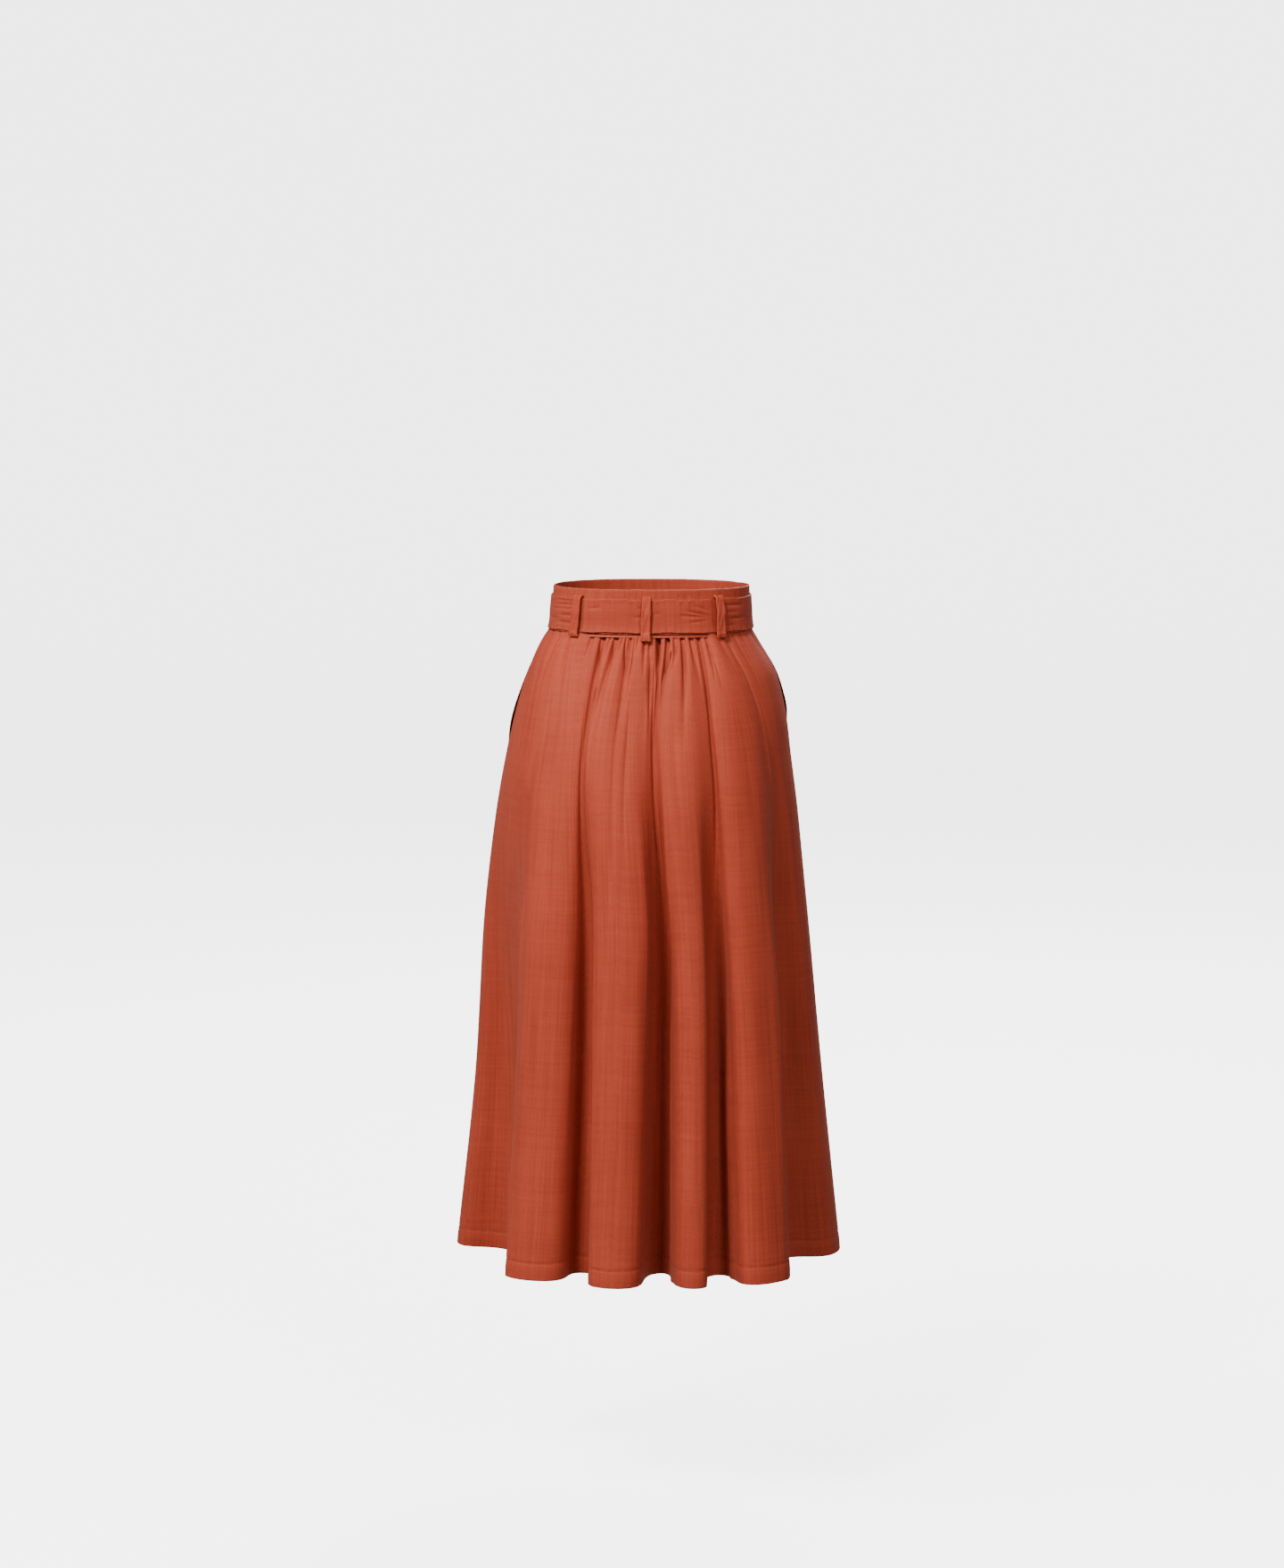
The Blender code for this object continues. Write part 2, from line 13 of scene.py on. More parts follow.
import bpy
import numpy as np
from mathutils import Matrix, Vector


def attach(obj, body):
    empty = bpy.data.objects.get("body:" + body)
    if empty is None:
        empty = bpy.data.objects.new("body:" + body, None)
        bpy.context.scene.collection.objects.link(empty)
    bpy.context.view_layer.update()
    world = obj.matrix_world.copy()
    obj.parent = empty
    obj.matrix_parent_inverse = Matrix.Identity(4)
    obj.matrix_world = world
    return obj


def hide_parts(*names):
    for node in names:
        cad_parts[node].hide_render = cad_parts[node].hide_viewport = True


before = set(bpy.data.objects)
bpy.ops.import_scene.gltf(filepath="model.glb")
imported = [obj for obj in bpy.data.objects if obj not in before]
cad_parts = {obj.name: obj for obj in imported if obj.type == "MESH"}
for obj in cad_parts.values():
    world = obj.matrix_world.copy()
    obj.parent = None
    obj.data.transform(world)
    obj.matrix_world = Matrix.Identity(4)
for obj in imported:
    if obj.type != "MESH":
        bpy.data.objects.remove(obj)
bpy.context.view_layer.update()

# Driving sizes.
WALL = 0.0015  # cloth of the skirt panels
SEAM_GAP = 0.0003  # between two pieces sewn together
SEAM_Z = -0.026  # waist seam
SKIRT_LENGTH = 0.780  # from the waist seam to the hem
HEM_DEPTH = 0.022  # turned-up hem, two layers thick
BAND_TOP = 0.028  # top edge of the waistband
BAND_WALL = 0.0022
BELT_BOTTOM = -0.0245
BELT_TOP = 0.0165
BELT_WALL = 0.0020
BELT_START = 75.0  # bearing of the belt's under end
BELT_END = 145.0  # and of its free end, one turn on
BELT_RISE = 15.0  # degrees before its start at which the belt climbs over it
BELT_UP = 5.0  # and at which it is up
LOOP_WIDTH = 0.0112
LOOP_WALL = 0.0014
LOOP_TOP = 0.0190
LOOP_EASE = 0.0019  # air between a loop and the belt
LOOP_FOOT = 0.0013  # from the cloth below the seam to the middle of a loop's foot
LOOP_BULGE = 0.0012  # how much further out its middle stands
POCKET_WALL = 0.0010
POCKET_REACH = 48.0  # degrees that a pocket bag runs forward
POCKET_TOP = 0.020  # drop of the bag's top edge
POCKET_LENGTH = 0.235  # drop of the bag's bottom edge
POCKET_LIP = WALL + 0.0016 + 0.5 * POCKET_WALL  # from the cloth's outside to the bag
POCKET_DEPTH = 0.014  # how much further in it lies away from its mouth
POCKET_EDGE = 0.5  # degrees from the side seam to where it starts
POCKET_UNDER = 3.0  # and that its lip runs behind the back panel
POCKET_PARTING = 0.0016  # between its two layers where they are sewn
POCKET_ROOM = 0.004  # and how much more where they are not
POCKET_REACHES = (0.80, 1.00, 0.75)  # shares at its top, low down and bottom
POCKET_WIDEST = 0.7  # how far down it is widest
POCKET_TAPER = 0.7  # how much less room it has at its fold
SQUARENESS = 2.25  # 2 is an ellipse, more is squarer

# Half sizes of the smooth ring that the folds' crests touch, at each drop.
Ring = namedtuple("Ring", "drop left right back front")
RINGS = [Ring(*row) for row in (
    (-0.060, 0.1208, 0.1200, 0.0870, 0.0905),
    (-0.028, 0.1235, 0.1215, 0.0895, 0.0925),
    (0.000, 0.1275, 0.1245, 0.0935, 0.0950),
    (0.012, 0.1350, 0.1310, 0.1010, 0.1010),
    (0.048, 0.1516, 0.1512, 0.1184, 0.1122),
    (0.085, 0.1640, 0.1620, 0.1320, 0.1200),
    (0.165, 0.1825, 0.1735, 0.1560, 0.1380),
    (0.330, 0.2075, 0.1915, 0.1840, 0.1600),
    (0.555, 0.2230, 0.2130, 0.2120, 0.1800),
    (0.780, 0.2485, 0.2365, 0.2380, 0.2000),
)]

# The large folds. Each row is a valley, with its bearing at four drops and its depth
# inside the ring there, and the lobe after it: where across the lobe its low flank,
# crest and high flank lie, as shares of it, and how far its crest stays inside the ring
# at the hem.
FOLD_DROPS = (0.000, 0.140, 0.380, 0.780)
Fold = namedtuple("Fold", "bearings depths low crest high inset")
FOLDS = [Fold(*row) for row in (
    # across the front, from the right side to the left
    ((24, 26, 28, 29), (0.002, 0.006, 0.030, 0.062), 0.22, 0.52, 0.80, 0.006),
    ((50, 51, 53, 54), (0.003, 0.008, 0.036, 0.070), 0.14, 0.42, 0.72, 0.000),
    ((79, 78, 79, 81), (0.003, 0.009, 0.040, 0.080), 0.28, 0.56, 0.84, 0.008),
    ((104, 105, 106, 107), (0.003, 0.008, 0.034, 0.064), 0.20, 0.50, 0.76, 0.000),
    ((129, 128, 127, 127), (0.003, 0.009, 0.040, 0.076), 0.24, 0.55, 0.80, 0.010),
    ((152, 151, 149, 147), (0.002, 0.006, 0.032, 0.058), 0.20, 0.46, 0.65, 0.000),
    # across the back, from the left side to the right
    ((197, 208, 205, 204), (0.001, 0.002, 0.036, 0.084), 0.40, 0.63, 0.92, 0.010),
    ((238, 240, 244, 245), (0.003, 0.008, 0.046, 0.080), 0.19, 0.51, 0.77, 0.006),
    ((279, 275, 280, 278), (0.003, 0.011, 0.056, 0.092), 0.13, 0.39, 0.64, 0.007),
    ((307, 303, 303, 300), (0.003, 0.009, 0.044, 0.070), 0.07, 0.29, 0.74, 0.000),
    ((324, 332, 335, 333), (0.002, 0.008, 0.038, 0.072), 0.26, 0.54, 0.80, 0.000),
)]
LOBE_SHARES = (0.0, 0.6, 1.0, 1.0)  # how much of a lobe's own shape it has at each drop
PINCHES = (0.00, 0.09, 0.03, 0.00)  # how much the valleys close up there
INSET_GROWTH = 1.5  # power of the drop by which a crest's inset grows
UPRIGHT = 0.80  # how upright the flanks of a full fold are
FULL_FOLD = 0.050  # depth of a full fold

# The gathers under the waistband: bearing of each trough at the seam, how far it leans
# by its end, its depth and its reach down.
Gather = namedtuple("Gather", "bearing lean depth reach")
GATHERS = [Gather(*row) for row in (
    (4.0, 0.0, 0.0016, 0.06), (13.0, 1.0, 0.002, 0.09), (22.0, 0.0, 0.003, 0.15),
    (29.5, -1.0, 0.0026, 0.07), (36.5, -2.0, 0.0034, 0.12), (43.5, 1.5, 0.003, 0.08),
    (50.0, 0.0, 0.004, 0.16), (57.0, -2.0, 0.0034, 0.07), (64.5, 1.0, 0.0042, 0.2),
    (71.5, 2.0, 0.003, 0.06), (79.0, 0.0, 0.0044, 0.16), (85.5, -2.5, 0.0036, 0.09),
    (92.0, 0.0, 0.004, 0.26), (98.5, 2.0, 0.003, 0.06), (104.0, 0.0, 0.004, 0.15),
    (111.0, -2.0, 0.0034, 0.11), (118.0, 1.0, 0.0038, 0.18), (124.5, 2.0, 0.003, 0.07),
    (131.0, 0.0, 0.004, 0.16), (138.0, -2.0, 0.003, 0.09), (145.5, 0.0, 0.003, 0.12),
    (152.0, 1.5, 0.0024, 0.06), (158.0, 0.0, 0.0026, 0.13), (168.0, 0.0, 0.0018, 0.07),
    (187.0, 2.0, 0.0018, 0.12), (197.0, 2.0, 0.0024, 0.15), (206.0, 0.0, 0.002, 0.04),
    (215.0, 1.0, 0.0022, 0.08), (229.5, -1.0, 0.003, 0.04), (238.0, 0.0, 0.0044, 0.18),
    (248.0, -2.5, 0.004, 0.13), (257.5, -1.0, 0.0046, 0.3), (268.0, 0.0, 0.0012, 0.03),
    (279.0, 0.0, 0.0048, 0.18), (285.5, -4.0, 0.0046, 0.12), (290.0, 0.0, 0.0026, 0.035),
    (295.0, -1.5, 0.0042, 0.13), (301.5, 0.5, 0.0034, 0.07), (307.0, 0.0, 0.0044, 0.18),
    (311.5, 3.0, 0.0028, 0.08), (318.5, 1.0, 0.0014, 0.07), (324.0, 2.0, 0.0024, 0.14),
    (330.0, 3.0, 0.0018, 0.08), (336.0, 2.0, 0.0012, 0.06), (350.0, 1.0, 0.002, 0.07),
)]
GATHER_PEAK = 0.014  # drop at which a gather is deepest
GATHER_AT_SEAM = 0.45  # share of its depth that it has at the seam
GATHER_WIDTH = 0.44  # half width of a trough, as a share of the room beside it
GATHER_MOST_WIDTH = 3.4  # and no wider than this, in degrees
GATHER_FADE = 1.3  # power by which a gather fades down its reach

# The side seam pockets: where each mouth starts and ends, and how far the front
# panel's edge stands off the back panel's edge there.
Pocket = namedtuple("Pocket", "name seam forward mouth_top mouth_bottom gape")
POCKETS = (
    Pocket("pocket_left", 180.0, -1.0, 0.042, 0.142, 0.0062),
    Pocket("pocket_right", 360.0, 1.0, 0.030, 0.124, 0.0069),
)
GAPE_OPENS = 1.2  # power by which a mouth opens down its length
SOFT_CLOSE = 5.0  # power by which it closes, more softly than the solids
SOFT_END = 1.6  # takes the kink out of its bottom end
GAPE_REACH = 20.0  # degrees over which the front panel eases back to its ring
MOUTH_SHIFT = 0.55  # how far the edge also moves forward, as a share of the gape

# Belt loops: bearing, how far the bottom swings, the height of the bottom edge, and the
# belt layers inside it.
Loop = namedtuple("Loop", "name bearing swing bottom layers")
LOOPS = (
    Loop("back_left", 219.8, -0.4, -0.0302, 1),
    Loop("back_centre", 269.3, -0.4, -0.0336, 1),
    Loop("back_right", 320.6, -0.6, -0.0306, 1),
    Loop("front_right", 46.0, 0.0, -0.0310, 1),
    Loop("front_left", 134.0, 0.0, -0.0310, 2),
)


def curve_through(at, places, values):
    """Smooth curve through values given at places, level beyond the first and last."""
    places = np.asarray(places, float)
    values = np.asarray(values, float)
    slopes = np.zeros_like(values)
    runs = np.diff(places)
    rises = np.diff(values) / runs
    same_way = rises[1:] * rises[:-1] > 0
    mean = (rises[1:] * runs[:-1] + rises[:-1] * runs[1:]) / (runs[:-1] + runs[1:])
    limit = 3.0 * np.minimum(np.abs(rises[1:]), np.abs(rises[:-1]))
    slopes[1:-1] = np.where(same_way, np.sign(mean) * np.minimum(np.abs(mean), limit), 0)
    slopes[0] = rises[0]
    slopes[-1] = rises[-1]
    at = np.clip(np.asarray(at, float), places[0], places[-1])
    cell = np.clip(np.searchsorted(places, at, side="right") - 1, 0, len(runs) - 1)
    run = runs[cell]
    t = (at - places[cell]) / run
    start = values[cell] * (1 + 2 * t) * (1 - t) ** 2 + slopes[cell] * run * t * (1 - t) ** 2
    return start + values[cell + 1] * t * t * (3 - 2 * t) + slopes[cell + 1] * run * t * t * (t - 1)


def unit(way):
    """The same directions, of length 1."""
    return way / np.linalg.norm(way, axis=-1, keepdims=True)


def wrapped(degrees):
    """The same turn, from -180 to 180 degrees."""
    return (degrees + 180) % 360 - 180


def bell(off, width, power=2):
    """1 at off = 0, and almost 0 beyond two widths."""
    return np.exp(-((off / width) ** power))


def run_along(line):
    """Distance down a line of points, or down each column of a grid."""
    steps = np.linalg.norm(np.diff(line, axis=0), axis=-1)
    return np.concatenate([0 * steps[:1], np.cumsum(steps, axis=0)])


def round_points(radius, bearing, z):
    """Points at a distance from the axis, a bearing and a height."""
    angle = np.radians(bearing)
    z = np.broadcast_to(z, radius.shape)
    return np.stack([radius * np.cos(angle), radius * np.sin(angle), z], axis=-1)


def ring_radius(bearing, drop):
    """Distance from the axis to the smooth ring that the crests touch."""
    drops, *sides = zip(*RINGS)
    left, right, back, front = (curve_through(drop, drops, side) for side in sides)
    angle = np.radians(bearing)
    across = np.cos(angle)
    along = np.sin(angle)
    half_width = np.where(across > 0, right, left)
    half_depth = np.where(along > 0, front, back)
    wide = np.abs(across / half_width) ** SQUARENESS
    deep = np.abs(along / half_depth) ** SQUARENESS
    return (wide + deep) ** (-1.0 / SQUARENESS)


def flank(t):
    """Falls smoothly from 1 at t = 0 to 0 at t = 1."""
    return 0.5 * (1 + np.cos(np.pi * np.clip(t, 0, 1)))


def across_lobe(lobe, t, drop, full):
    """How far across its lobe a point is, when its way round the fold is t."""
    own = curve_through(drop, FOLD_DROPS, LOBE_SHARES)
    pinch = curve_through(drop, FOLD_DROPS, PINCHES)
    low = own * (lobe.low - 0.25)
    crest = own * (lobe.crest - 0.50)
    high = own * (lobe.high - 0.75)
    turn = 2 * np.pi * t
    across = t + (0.5 * (low - high) - pinch) * np.sin(turn)
    across += crest * 0.5 * (1 - np.cos(turn))
    across += 0.5 * (low + high - crest) * 0.5 * (1 - np.cos(2 * turn))
    return across + UPRIGHT * full * np.sin(2 * turn) / (4 * np.pi)


def folded(place, drop):
    """Bearing and depth that the large folds give the cloth."""
    bearing = np.zeros_like(place)
    depth = np.zeros_like(place)
    count = len(FOLDS)
    lobe = np.searchsorted([fold.bearings[0] for fold in FOLDS], place, side="right") - 1
    lobe = np.where(lobe < 0, count - 1, lobe)
    for i in range(count):
        inside = lobe == i
        low = FOLDS[i]
        high = FOLDS[(i + 1) % count]
        turn = 360.0 if i == count - 1 else 0.0
        at = place[inside]
        at = np.where(at < low.bearings[0], at + 360.0, at)
        t = (at - low.bearings[0]) / (high.bearings[0] + turn - low.bearings[0])
        d = drop[inside]
        low_at = curve_through(d, FOLD_DROPS, low.bearings)
        high_at = curve_through(d, FOLD_DROPS, high.bearings) + turn
        valley = np.where(t < 0.5, curve_through(d, FOLD_DROPS, low.depths),
                          curve_through(d, FOLD_DROPS, high.depths))
        crest = low.inset * np.clip(d / SKIRT_LENGTH, 0, 1) ** INSET_GROWTH
        full = np.clip((valley - crest) / FULL_FOLD, 0, 1)
        bearing[inside] = low_at + (high_at - low_at) * across_lobe(low, t, d, full)
        depth[inside] = crest + (valley - crest) * 0.5 * (1 + np.cos(2 * np.pi * t))
    return bearing, depth


def gather_depth(place, drop):
    """Depth of the gathers, which fade out down the cloth."""
    depth = np.zeros_like(place)
    count = len(GATHERS)
    for i, gather in enumerate(GATHERS):
        before = (gather.bearing - GATHERS[i - 1].bearing) % 360
        after = (GATHERS[(i + 1) % count].bearing - gather.bearing) % 360
        faded = np.clip(drop / gather.reach, 0, 1)
        off = wrapped(place - gather.bearing - gather.lean * faded)
        room = np.where(off < 0, before, after)
        width = np.minimum(GATHER_WIDTH * room, GATHER_MOST_WIDTH)
        rise = GATHER_AT_SEAM + (1 - GATHER_AT_SEAM) * np.clip(drop / GATHER_PEAK, 0, 1)
        depth += gather.depth * rise * (1 - faded) ** GATHER_FADE * flank(np.abs(off) / width)
    return depth


def gape(place, drop, front):
    """How far the front panel's edge stands off at the pocket mouths."""
    out = np.zeros_like(place)
    if not front:
        return out
    for pocket in POCKETS:
        off = np.abs(wrapped(place - pocket.seam))
        down = (drop - pocket.mouth_top) / (pocket.mouth_bottom - pocket.mouth_top)
        down = np.clip(down, 0, 1)
        swell = down ** GAPE_OPENS * (1 - down ** SOFT_CLOSE) ** SOFT_END
        out += pocket.gape * swell * flank(off / GAPE_REACH)
    return out


def cloth_point(place, drop, front):
    """Point on the outside of a panel, for a place on the seam and a drop."""
    place, drop = np.broadcast_arrays(np.asarray(place, float), np.asarray(drop, float))
    bearing, depth = folded(place, drop)
    depth = depth + gather_depth(place, drop)
    stand = gape(place, drop, front)
    radius = ring_radius(bearing, drop) - depth + stand
    points = round_points(radius, bearing, SEAM_Z - drop)
    points[..., 1] += MOUTH_SHIFT * stand
    return points


def band_point(bearing, z, stand):
    """Point at a height on the waistband's outside, moved out by stand."""
    return round_points(ring_radius(bearing, SEAM_Z - z) + stand, bearing, z)


def belt_lift(bearing):
    """How far the belt's inside stands off the waistband: its free end lies on its start."""
    climb = (bearing - (BELT_START + 360 - BELT_RISE)) / (BELT_RISE - BELT_UP)
    return SEAM_GAP + (BELT_WALL + SEAM_GAP) * (1 - flank(climb))


def loop_path(loop):
    """Heights and stands, from the waistband, of a loop's middle line, top to bottom."""
    on_band = SEAM_GAP + 0.5 * LOOP_WALL
    clear = on_band + loop.layers * (BELT_WALL + SEAM_GAP) + LOOP_EASE
    bulge = clear + LOOP_BULGE
    seam_ring = ring_radius(loop.bearing, 0.0)
    foot = ring_radius(loop.bearing, SEAM_Z - loop.bottom) - seam_ring + LOOP_FOOT
    return np.array((
        (LOOP_TOP, on_band),
        (LOOP_TOP, 0.5 * (on_band + clear)),
        (BELT_TOP + LOOP_WALL, clear),
        (0.5 * BELT_TOP, 0.5 * (clear + bulge)),
        (0.0, bulge),
        (0.5 * BELT_BOTTOM, bulge),
        (BELT_BOTTOM, clear),
        (SEAM_Z, 0.5 * (clear + foot)),
        (loop.bottom, foot),
    ))


# ---- fine relief
PANEL_COLUMNS = 500
COLUMN_WARP = 0.38  # how much closer the columns are in the middle
HEM_ROLL = 0.0005  # radius of the turn at the hem's edge
HEM_TURN = 0.0205  # how far up the turned-up hem reaches inside
EDGE_TUCK = 0.008  # turned in at a panel's sides
SHEET_GAP = 0.0009  # between the two layers of a turned edge
TOP_TUCK = ((0.006, -0.0011), (0.003, -0.0011), (0.0008, -0.0009))  # rows above the seam: lift, stand
SIDE_TUCK = (  # columns turned in at a side: how far in, and how deep as a share of SHEET_GAP
    (-0.0002, 0.45), (0.0006, 1.0), (0.3 * EDGE_TUCK, 1.0), (EDGE_TUCK, 1.0),
)
STITCH_PULL = 0.0007  # how far the hem's stitches pull the cloth in
HEM_SWELL = 0.0003  # how far the hem swells below them
CREASE_RISE = 0.3  # share of its length over which a crease grows
CREASE_LEAD = 0.05  # and over which it fades in before its start
SHARP_FALL = 1.8  # how fast a sharp crease falls away from its line

# Creases listed one by one for the back panel: where a line starts and ends on the cloth,
# its half width, its height (below zero for a trough), how sharp it is, how strong it is
# at its start, and how far it bows sideways.
Crease = namedtuple("Crease", "place drop to_place to_drop width height sharp start bow", defaults=(0.0, 0.0))
BACK_CREASES = [Crease(*row) for row in (
    # the crisp fold lines over the hip
    (236.2, 0.002, 240.0, 0.165, 0.0026, -0.0062, 0.9, 0.5, 0.0058),
    (238.8, 0.04, 238.6, 0.38, 0.003, -0.0052, 0.8, 0.0, 0.002),
    (243.6, 0.04, 243.0, 0.3, 0.005, 0.0016, 0.3),
    (278.0, 0.0, 276.0, 0.06, 0.0028, -0.0067, 0.9, 0.8, 0.003),
    (272.6, 0.03, 272.2, 0.125, 0.0036, -0.0062, 0.9, 0.4),
    (275.8, 0.05, 278.4, 0.36, 0.0026, -0.0054, 0.8, 0.5),
    (279.6, 0.02, 276.8, 0.11, 0.004, 0.0022, 0.3, 0.2, 0.002),
    (305.0, 0.002, 308.4, 0.13, 0.0026, -0.0055, 0.9, 0.5, -0.002),
    (306.4, 0.08, 307.8, 0.4, 0.0036, -0.0058, 0.8, 0.2),
    (311.0, 0.016, 311.4, 0.07, 0.0025, -0.0036, 0.9, 0.6),
    (327.2, 0.002, 320.2, 0.08, 0.003, -0.001, 0.5, 0.6, -0.003),
    (338.0, 0.004, 338.6, 0.06, 0.003, -0.0012, 0.5, 0.5),
    (285.4, 0.002, 287.4, 0.026, 0.0025, -0.0043, 0.9, 0.8),
    (287.4, 0.022, 281.0, 0.078, 0.0025, -0.005, 0.9, 0.8, -0.002),
    (291.6, 0.002, 287.0, 0.054, 0.0023, -0.0043, 0.9, 0.8),
    (296.0, 0.002, 297.0, 0.034, 0.0023, -0.0036, 0.9, 0.7),
    (294.6, 0.002, 293.4, 0.12, 0.0033, -0.0026, 0.8, 0.6),
    (300.5, 0.002, 300.0, 0.06, 0.0023, -0.0031, 0.9, 0.7),
    (302.6, 0.002, 302.4, 0.03, 0.0021, -0.0029, 0.9, 0.8),
    (255.0, 0.002, 259.4, 0.07, 0.0026, -0.0053, 0.9, 0.6),
    (260.2, 0.004, 257.6, 0.11, 0.0026, -0.0058, 0.9, 0.5, 0.002),
    (261.4, 0.07, 258.6, 0.36, 0.005, -0.0046, 0.6, 0.2),
    (246.4, 0.002, 249.2, 0.06, 0.0026, -0.005, 0.9, 0.6),
    (249.0, 0.04, 248.0, 0.2, 0.003, -0.0018, 0.7, 0.3),
    (251.8, 0.001, 252.4, 0.034, 0.0021, -0.0031, 0.9, 0.8),
    (263.0, 0.001, 262.4, 0.028, 0.0021, -0.0026, 0.9, 0.8),
    (268.0, 0.004, 267.4, 0.06, 0.0026, -0.0041, 0.9, 0.6),
    (272.0, 0.002, 271.4, 0.04, 0.0025, -0.0043, 0.9, 0.7),
    (271.4, 0.06, 268.0, 0.2, 0.0036, 0.0014, 0.3, 0.2),
    (242.4, 0.001, 243.6, 0.04, 0.0023, -0.0029, 0.9, 0.8),
    (231.0, 0.002, 229.4, 0.06, 0.0018, -0.002, 0.8, 0.6),
    (225.0, 0.002, 222.6, 0.09, 0.0028, -0.0014, 0.5, 0.5),
    (217.7, 0.02, 218.4, 0.17, 0.0034, -0.0014, 0.5, 0.3),
    (213.6, 0.06, 213.0, 0.26, 0.0034, -0.0016, 0.5, 0.2),
    (206.0, 0.004, 203.6, 0.095, 0.0034, -0.0014, 0.4, 0.4),
    (208.0, 0.12, 207.0, 0.33, 0.004, -0.0012, 0.4, 0.2),
    # thin bright rims where the large folds turn, and a trough beside the third
    (205.0, 0.2, 219.0, 1.0, 0.005, 0.0044, 0.6),
    (206.0, 0.26, 213.5, 0.74, 0.0085, 0.0056, 0.5),
    (248.6, 0.28, 256.6, 1.0, 0.005, 0.003, 0.6),
    (288.6, 0.15, 283.6, 0.62, 0.006, 0.004, 0.6),
    (284.6, 0.34, 287.4, 1.2, 0.007, 0.0048, 0.6),
    (282.6, 0.12, 281.0, 0.64, 0.008, -0.009, 0.3),
    (308.6, 0.22, 306.6, 0.62, 0.003, 0.0013, 0.5),
    (310.4, 0.38, 310.2, 1.2, 0.0065, 0.0066, 0.3),
    (326.0, 0.09, 317.4, 0.48, 0.011, 0.005, 0.5),
    (317.8, 0.22, 316.2, 1.2, 0.011, 0.008, 0.5),
    (191.6, 0.18, 193.0, 0.4, 0.0036, 0.0012, 0.5),
    (203.5, 0.2, 205.0, 0.42, 0.003, 0.0014, 0.5),
    # faint lines down the lobes
    (226.0, 0.2, 222.0, 0.62, 0.005, -0.0012, 0.3, 0.0, 0.006),
    (219.0, 0.22, 216.0, 0.57, 0.004, 0.001, 0.3, 0.0, -0.004),
    (257.6, 0.18, 252.0, 0.48, 0.007, -0.003, 0.3, 0.4, 0.004),
    (264.0, 0.16, 266.0, 0.56, 0.0045, 0.0011, 0.3),
    (291.0, 0.09, 291.0, 0.33, 0.0045, -0.0014, 0.3, 0.0, 0.003),
    (297.0, 0.2, 296.0, 0.65, 0.005, 0.0011, 0.3, 0.0, -0.003),
    (316.0, 0.12, 317.0, 0.45, 0.005, -0.0013, 0.3, 0.0, 0.004),
    (322.0, 0.3, 321.0, 0.72, 0.0055, 0.001, 0.3),
    (328.0, 0.06, 336.0, 0.3, 0.005, -0.001, 0.4, 0.2, 0.002),
    # small dents low down
    (181.5, 0.612, 189.0, 0.616, 0.003, -0.0012, 0.4, 0.2, 0.002),
    (182.0, 0.632, 188.0, 0.63, 0.0026, 0.0008, 0.4, 0.2, 0.002),
    (310.0, 0.616, 314.0, 0.619, 0.0026, -0.001, 0.4, 0.2, 0.001),
    (312.0, 0.68, 314.0, 0.692, 0.0028, -0.0012, 0.5, 0.2, 0.002),
)]
FRONT_CREASES = [Crease(*row) for row in (
    (50.0, 0.002, 50.4, 0.16, 0.0036, -0.002, 0.8, 0.6),
    (79.0, 0.002, 78.6, 0.12, 0.0036, -0.0024, 0.8, 0.6, 0.002),
    (92.0, 0.004, 91.6, 0.22, 0.0042, -0.0014, 0.6, 0.5),
    (104.0, 0.002, 104.6, 0.14, 0.0036, -0.002, 0.8, 0.6),
    (129.0, 0.002, 128.4, 0.15, 0.0036, -0.002, 0.8, 0.6, -0.002),
    (64.5, 0.002, 65.4, 0.15, 0.0034, -0.0014, 0.7, 0.6),
    (118.0, 0.002, 118.8, 0.13, 0.0034, -0.0014, 0.7, 0.6),
    (36.5, 0.002, 35.0, 0.09, 0.0032, -0.0012, 0.7, 0.6),
    (145.5, 0.002, 145.8, 0.1, 0.0032, -0.0012, 0.7, 0.6),
    (86.0, 0.18, 84.0, 0.6, 0.0065, -0.001, 0.2, 0.0, 0.005),
    (60.0, 0.2, 61.0, 0.64, 0.006, 0.0009, 0.2, 0.0, -0.004),
    (112.0, 0.15, 113.0, 0.56, 0.0065, -0.0009, 0.2, 0.0, 0.004),
    (138.0, 0.22, 137.0, 0.68, 0.006, 0.0008, 0.2, 0.0, 0.003),
    (38.0, 0.3, 39.0, 0.7, 0.006, -0.0008, 0.2),
    (96.0, 0.56, 101.0, 0.565, 0.0026, -0.0008, 0.4, 0.2, 0.002),
    (57.0, 0.64, 60.0, 0.65, 0.0026, -0.0008, 0.4, 0.2, 0.002),
)]
STREAKS = 46  # faint ridges and troughs on each panel
PUCKERS = 120  # little gathers at its waist seam
HEM_PUCKERS = 64
STREAK_END = 0.755  # drop that no streak runs past


def grid_normals(points):
    """Unit directions out of a grid whose rows run down and columns run round."""
    out = np.cross(np.gradient(points, axis=0), np.gradient(points, axis=1))
    return out / np.maximum(np.linalg.norm(out, axis=-1, keepdims=True), 1e-12)


def cloth_metres(points):
    """Metres along the cloth: round from the middle column, and down from the top."""
    u = run_along(points.transpose(1, 0, 2)).T
    return u - u[:, [points.shape[1] // 2]], run_along(points)


def crease_shape(off, width, sharp):
    """Height across a crease: rounded where sharp is 0, pointed where it is 1."""
    off = np.abs(off)
    return (1 - sharp) * bell(off, width) + sharp * np.exp(-SHARP_FALL * off / width)


